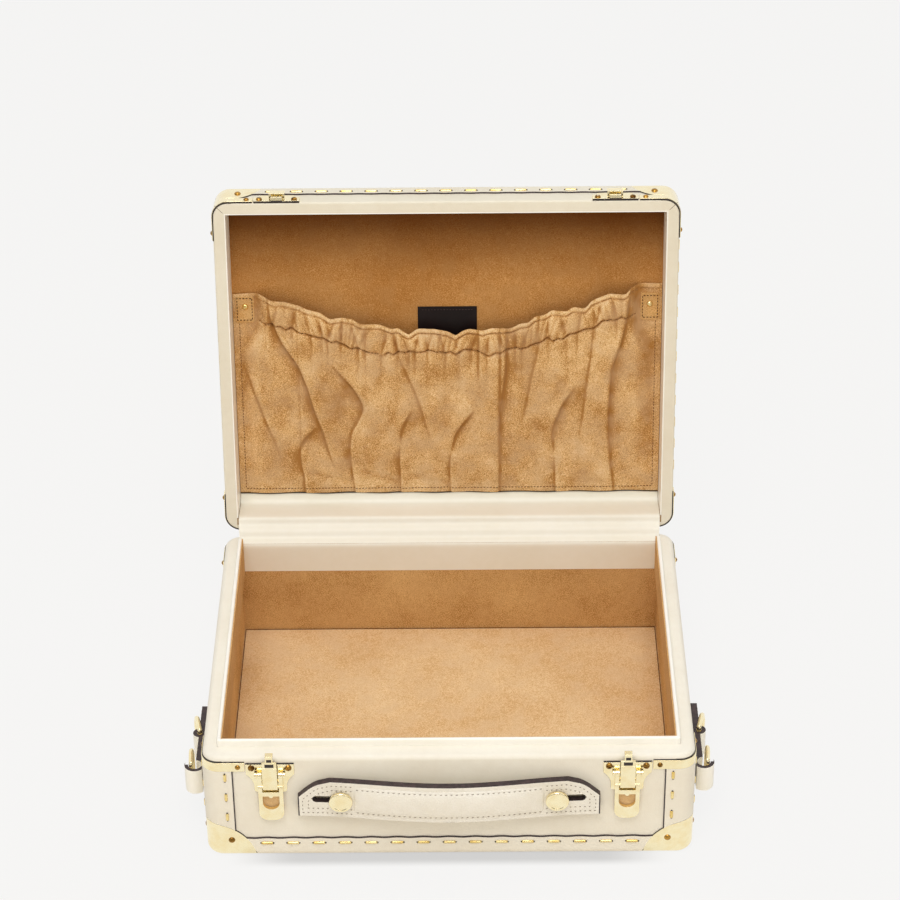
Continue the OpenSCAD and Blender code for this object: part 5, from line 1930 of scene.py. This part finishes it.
    def nap(self, x: Array, u: Array) -> Array:
        """Painted light and shade: lighter where the cloth turns left and up, darker elsewhere and in creases.

        Args:
            x: places along the pocket.
            u: places up the pocket.

        Returns:
            What the finish adds to its tone, about -0.5 to 0.2.
        """
        here = self.lift(x, u)
        right, left = self.lift(x + 1.2, u), self.lift(x - 1.2, u)
        above, under = self.lift(x, u + 1.5), self.lift(x, u - 1.5)
        # Painted light on slopes that turn left and up, painted shade on those that turn away
        turned = np.clip(0.16 * (right - left) / 2.4 - 0.05 * (above - under) / 3.0, -0.16, 0.1)
        # Painted shade in creases and broad hollows, and a painted highlight along the rolled rim
        creased = np.clip((self.lift(x + 3.5, u) + self.lift(x - 3.5, u)) / 2 - here, 0, 2.5) / 2.5
        hollow_shade = np.clip((self.lift(x + 9, u) + self.lift(x - 9, u)) / 2 - here, 0, 3.0) / 3.0
        rim = 1 - eased((self.edge_u(x) - u - self.rim + 0.6) / 0.6)
        fine = np.clip((self.lift(x + 1.5, u) + self.lift(x - 1.5, u)) / 2 - here, 0, 0.7) / 0.7
        # Painted shade along each long fold
        painted_fold_shade = sum(fold.shade(x, u) for fold in self.folds)
        return turned - 0.16 * creased - 0.1 * hollow_shade - 0.14 * fine + 0.1 * rim - painted_fold_shade

    def cloth(self, shop: Workshop) -> Piece:
        """The sheet on a grid of x and share of height, closer near the hem and the mouth.

        Args:
            shop: the workshop.

        Returns:
            The cloth.
        """
        x = np.linspace(-self.half_w, self.half_w, 481)
        share = np.concatenate([np.linspace(0, 0.1, 9)[:-1], np.linspace(0.1, 0.83, 50)[:-1],
                                np.linspace(0.83, 1.0, 39)])
        gx, gs = np.meshgrid(x, share, indexing="xy")
        hem = self.hem(gx) * (1 - eased(gs / 0.04))
        gu = self.low + (self.edge_u(gx) - self.low) * gs + hem
        face = self.point(gx, gu)
        out = self.outward(gx, gu)
        wide = np.linalg.norm(np.diff(face, axis=1), axis=-1)
        tall = np.linalg.norm(np.diff(face, axis=0), axis=-1)
        area = (wide[:-1] + wide[1:]) / 2 * (tall[:, :-1] + tall[:, 1:]) / 2
        flat = (wide.sum(axis=1).max() * MM, tall.sum(axis=0).max() * MM)
        obj = shop.add("gathered_pocket", Surface.cloth(face, out, self.thickness), "pocket", smooth=75)
        # Painted light and shade, kept as the nap attribute that the pocket's finish adds to its tone
        painted_light_and_shade = self.nap(gx, gu)
        values = np.concatenate([painted_light_and_shade, painted_light_and_shade[:, ::-1]], axis=1).ravel().astype(np.float32)
        obj.data.attributes.new("nap", "FLOAT", "POINT").data.foreach_set("value", values)
        shop.settle(obj, Slot.SUEDE, "lid", "pocket")
        self.sheet = (flat, float(area.sum()) * MM * MM)
        return obj

    def seams(self, shop: Workshop) -> tuple[Piece, Piece]:
        """Brown stitches at the hem, the two sides, along the mouth and under the elastic, and a dark strip of
        painted shadow under the hem.

        Args:
            shop: the workshop.

        Returns:
            The brown stitches and the mouth's tan ones.
        """
        side = self.half_w - 4.4
        x = np.linspace(-side, side, 900)
        u = np.linspace(self.low + 4, 156, 400)
        lines = [(x, np.full_like(x, self.low + 3.8))]
        lines += [(np.full_like(u, hand * side), u) for hand in (-1, 1)]
        inner, mouth = np.linspace(-137, 137, 1200), np.linspace(-152, 152, 1300)
        lines += [(inner, self.seam_u(inner)), (mouth, self.edge_u(mouth) - self.rim - 0.4)]
        rows = []
        for px, pu in lines:
            places, heading = along_line(self.point(px, pu, 0.02), 2.35)
            stops = np.linspace(0, 1, len(px))
            picks = (np.arange(len(places)) + 0.5) / len(places)
            out = self.outward(np.interp(picks, stops, px), np.interp(picks, stops, pu))
            rows.append(stitch_row(places, heading, out, 1.5, 0.6))
        edge = shop.settle(shop.add("mouth_stitches", rows.pop(), "tan_thread"), Slot.SUEDE, "lid")
        # Painted shadow: a slim dark strip along the foot of the hem
        x = np.linspace(-self.half_w, self.half_w, 240)
        cut = self.lid.place(x, self.low + self.hem(x) - 0.1, self.floor_v - 1.0)
        profile = np.array([[-0.3, -0.4], [0.3, -0.4], [0.3, 0.9], [-0.3, 0.9]])
        out = np.tile(self.lid.direction(0.0, 0.0, -1.0), (240, 1))
        shop.settle(shop.add("hem_cut_edge", Surface.tube(cut, out, profile), "gap"), Slot.SUEDE, "lid")
        obj = shop.add("pocket_stitches", rows, "brown_thread")
        return shop.settle(obj, Slot.SUEDE, "lid"), edge

    def patches(self, shop: Workshop) -> None:
        """Two sewn suede patches over the corners of the mouth, each a slightly crowned leaf with a rivet.

        Args:
            shop: the workshop.
        """
        shells, rows = [], []
        for solid in shop.islands("pocket_tabs"):
            low, high = solid.min(axis=0), solid.max(axis=0)
            hand = np.sign(low[0] + high[0])
            near, far = sorted((abs(low[0]), abs(high[0])))
            near, far = near - 1.2, min(far + 1.8, self.half_w - 0.2)
            tall, bottom = self.patch_h, self.patch_low
            a, b = np.meshgrid(np.linspace(-1, 1, 21), np.linspace(-1, 1, 31), indexing="xy")
            round_off = 0.06 * (a * b) ** 8
            x = hand * ((near + far) / 2 + (far - near) / 2 * a * (1 - round_off))
            u = bottom + tall / 2 - 1 + (tall / 2 - 1) * b * (1 - round_off)
            crown = 0.35 * (1 - a ** 6) * (1 - b ** 6)
            face = self.lid.place(x, u, self.floor_v - self.thickness - 0.75 - crown)
            out = np.broadcast_to(self.lid.direction(0.0, 0.0, -1.0), face.shape)
            shells.append(Surface.cloth(face, out, 0.9))
            inset = 0.8
            turn = inset * np.array([[-1, -1], [1, -1], [1, 1], [-1, 1], [-1, -1]])
            run = np.linspace(0, 4, 200)
            ta, tb = (np.interp(run, np.arange(5), turn[:, k]) for k in range(2))
            line = self.lid.place(hand * ((near + far) / 2 + (far - near) / 2 * ta),
                                  bottom + tall / 2 - 1 + (tall / 2 - 1) * tb,
                                  self.floor_v - self.thickness - 0.75 - 0.3)
            places, heading = along_line(line, 2.3)
            rows.append(stitch_row(places, heading, np.broadcast_to(out[0, 0], places.shape), 1.5, 0.7))
        obj = shop.add("pocket_patches", shells, "patch")
        shop.settle(obj, Slot.SUEDE, "lid", "pocket_tabs")
        shop.settle(shop.add("patch_stitches", rows, "patch_thread"), Slot.SUEDE, "lid")
        RoundHeads("pocket_rivets", inward=True, finish="dash").build(shop)

    def build(self, shop: Workshop) -> None:
        """Makes the pocket and its label.

        Args:
            shop: the workshop.
        """
        cloth = self.cloth(shop)
        seams = self.seams(shop)
        self.patches(shop)
        shop.carry("label", Slot.DARK, "label", bevel=0.3)
        x = np.linspace(-self.label_half, self.label_half, 60)
        line = self.lid.place(x, np.full(60, self.label_u), np.full(60, self.label_v))
        places, heading = along_line(line, 2.2)
        out = np.broadcast_to(self.lid.direction(0.0, 0.0, -1.0), places.shape)
        row = stitch_row(places, heading, out, 1.4, 0.4)
        shop.settle(shop.add("label_stitches", row, "dark_thread"), Slot.DARK, "lid")


# Studio


@dataclass(frozen=True)
class Studio:
    """Pale floor, soft lamps and the camera of the photograph."""

    camera_place: tuple = (15.03, -1590.0, 1314.6)
    yaw: float = -0.459
    pitch: float = 33.89
    roll: float = -0.664
    focal_px: float = 2851.75
    photo_px: float = 900.0
    backdrop: str = "#F6F6F6"
    # Where every lamp looks, and half the floor's side and its height, in metres
    target: tuple = (0.0, 0.05, 0.12)
    floor_half: float = 6.0
    floor_z: float = -0.0003

    def camera(self) -> None:
        """Points the camera: yaw about Z, pitch below the horizon, then roll about the line of sight."""
        yaw, pitch, roll = (math.radians(a) for a in (self.yaw, self.pitch, self.roll))
        ahead = Vector((math.sin(yaw) * math.cos(pitch), math.cos(yaw) * math.cos(pitch), -math.sin(pitch)))
        right = Vector((math.cos(yaw), -math.sin(yaw), 0))
        up = right.cross(ahead)
        turned = math.cos(roll) * right + math.sin(roll) * up
        upright = -math.sin(roll) * right + math.cos(roll) * up
        data = bpy.data.cameras.new("camera")
        data.sensor_width = 36.0
        data.lens = self.focal_px / self.photo_px * data.sensor_width
        data.clip_end = 50.0
        obj = linked("camera", data)
        turn = Matrix((turned, upright, -ahead)).transposed()
        obj.matrix_world = Matrix.Translation(Vector(self.camera_place) * MM) @ turn.to_4x4()
        bpy.context.scene.camera = obj

    def lamp(self, name: str, place: tuple, size: float, power: float, colour: str = "#FFFFFF") -> None:
        """Adds a soft square lamp that looks at the case.

        Args:
            name: name of the lamp.
            place: its place in metres.
            size: side of the square in metres.
            power: power in watts.
            colour: its colour.
        """
        data = bpy.data.lights.new(name, "AREA")
        data.shape = "SQUARE"
        data.size = size
        data.energy = power
        data.color = linear(colour)[:3]
        obj = linked(name, data)
        look = Vector(self.target) - Vector(place)
        obj.matrix_world = Matrix.Translation(place) @ look.to_track_quat("-Z", "Y").to_matrix().to_4x4()

    @staticmethod
    def panel(name: str, s: Shader, centre: tuple, wide: tuple, tall: tuple) -> Piece:
        """Adds a flat rectangle that belongs to the studio.

        Args:
            name: its name.
            s: its shader.
            centre: its centre in metres.
            wide: half its width as a vector.
            tall: half its height as a vector.

        Returns:
            The rectangle.
        """
        c, w, t = (np.array(part, float) for part in (centre, wide, tall))
        mesh = bpy.data.meshes.new(name)
        mesh.from_pydata([tuple(c + i * w + j * t) for i, j in ((-1, -1), (1, -1), (1, 1), (-1, 1))], [],
                         [(0, 1, 2, 3)])
        mesh.materials.append(s.owner)
        obj = linked(name, mesh)
        return obj

    def card(self, name: str, centre: tuple, wide: tuple, tall: tuple, colour: str) -> None:
        """Adds a dark card that only the brass sees, for its darker reflections.

        Args:
            name: name of the card.
            centre: its centre in metres.
            wide: half its width as a vector.
            tall: half its height as a vector.
            colour: its colour.
        """
        s = Shader(name)
        s.add("OutputMaterial", s.add("Emission", linear(colour), 1.0))
        obj = self.panel(name, s, centre, wide, tall)
        obj.visible_camera = False
        obj.visible_diffuse = False
        obj.visible_shadow = False

    def world(self) -> None:
        """White for the camera and the shine, and for the rest a soft light, strongest from above."""
        s = Shader("studio", world=True)
        seen = s.add("LightPath", out="Is Transmission Ray")
        for ray in ("Is Camera Ray", "Is Glossy Ray"):
            seen = s.add("Math", s.add("LightPath", out=ray), seen, operation="MAXIMUM")
        shown = s.add("Background", linear(self.backdrop), 1.0)
        climb = s.add("SeparateXYZ", s.add("TexCoord", out="Generated"), out="Z")
        light = s.add("Background", linear("#FFFDF9"), s.add("MapRange", {0: climb, 3: 0.22, 4: 0.9}))
        s.add("OutputWorld", s.add("MixShader", seen, light, shown))
        bpy.context.scene.world = s.owner

    @staticmethod
    def contact(s: Shader) -> Socket:
        """Strength of the floor's glow, dimmed by a painted contact shadow along the foot of the case's long
        sides.

        The shade is full within 3.5 mm of the band round the base and gone at 12.5 mm, and it fades towards
        the corners from 100 mm to 155 mm off the middle.

        Args:
            s: the floor's shader.

        Returns:
            The strength, 1 less up to 0.31.
        """
        low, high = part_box("base_band")
        half = (high[1] - low[1]) / 2
        shade = 0.31
        for axis, middle, clear, full in (("Y", (low[1] + high[1]) / 2, half + 0.0125, half + 0.0035),
                                          ("X", 0.0, 0.155, 0.1)):
            away = s.add("Math", s.add("SeparateXYZ", s.place, out=axis), middle, operation="SUBTRACT")
            away = s.add("Math", away, operation="ABSOLUTE")
            part = s.add("MapRange", away, clear, full, interpolation_type="SMOOTHSTEP")
            shade = s.add("Math", part, shade, operation="MULTIPLY")
        return s.add("Math", 1.0, shade, operation="SUBTRACT")

    def floor(self) -> None:
        """Pale floor: mostly backdrop white to the camera, with the soft shadow kept, and a painted contact
        shadow at the case's foot.
        """
        s = Shader("pale floor")
        camera, glossy = (s.add("LightPath", out=ray) for ray in ("Is Camera Ray", "Is Glossy Ray"))
        path = s.add("Math", camera, glossy, operation="MAXIMUM")
        share = s.add("Math", path, 0.92, operation="MULTIPLY")
        matt = s.add("BsdfDiffuse", linear("#F2EADC"))
        glow = s.add("Emission", linear(self.backdrop), self.contact(s))
        s.add("OutputMaterial", s.add("MixShader", share, matt, glow))
        self.panel("floor", s, (0, 0, self.floor_z), (self.floor_half, 0, 0), (0, self.floor_half, 0))

    def build(self) -> None:
        """Sets up camera, world, floor, lamps and cards."""
        self.camera()
        self.world()
        self.floor()
        self.lamp("key", (-0.1, -1.15, 2.3), 1.2, 22.8)
        self.lamp("overhead", (0.0, 0.4, 2.6), 1.6, 4.0)
        self.lamp("low fill", (0.1, -1.9, 0.5), 1.0, 4.2, "#FFEFD6")
        self.card("high_card", (0, -1.5, 1.25), (0.75, 0, 0), (0, 0.28, 0.42), "#3A2A18")
        self.card("low_card", (0, -1.8, 0.25), (1.4, 0, 0), (0, 0, 0.22), "#3A2E20")
        self.card("left_card", (-1.7, -0.2, 0.5), (0, 0.5, 0), (0, 0, 0.45), "#2E2216")
        self.card("right_card", (1.7, -0.2, 0.5), (0, 0.5, 0), (0, 0, 0.45), "#2E2216")
        bpy.context.scene.view_settings.view_transform = "Standard"


def main() -> None:
    """Builds the case on its frame."""
    logging.basicConfig(level=logging.INFO, format="%(name)s: %(message)s")
    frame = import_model()
    Studio().build()
    shop = Workshop(frame, Finishes())
    sizes = CaseSizes.from_frame()
    lid = LidSpace.from_frame(frame, sizes.half_d, sizes.rim_gap / 2)
    Shells(sizes, lid).build(shop)
    Handle(sizes).build(shop)
    Latches().build(shop)
    Hinges(sizes, lid).build(shop)
    SideStraps(sizes).build(shop)
    Pocket(lid).build(shop)


if __name__ == "__main__":
    main()
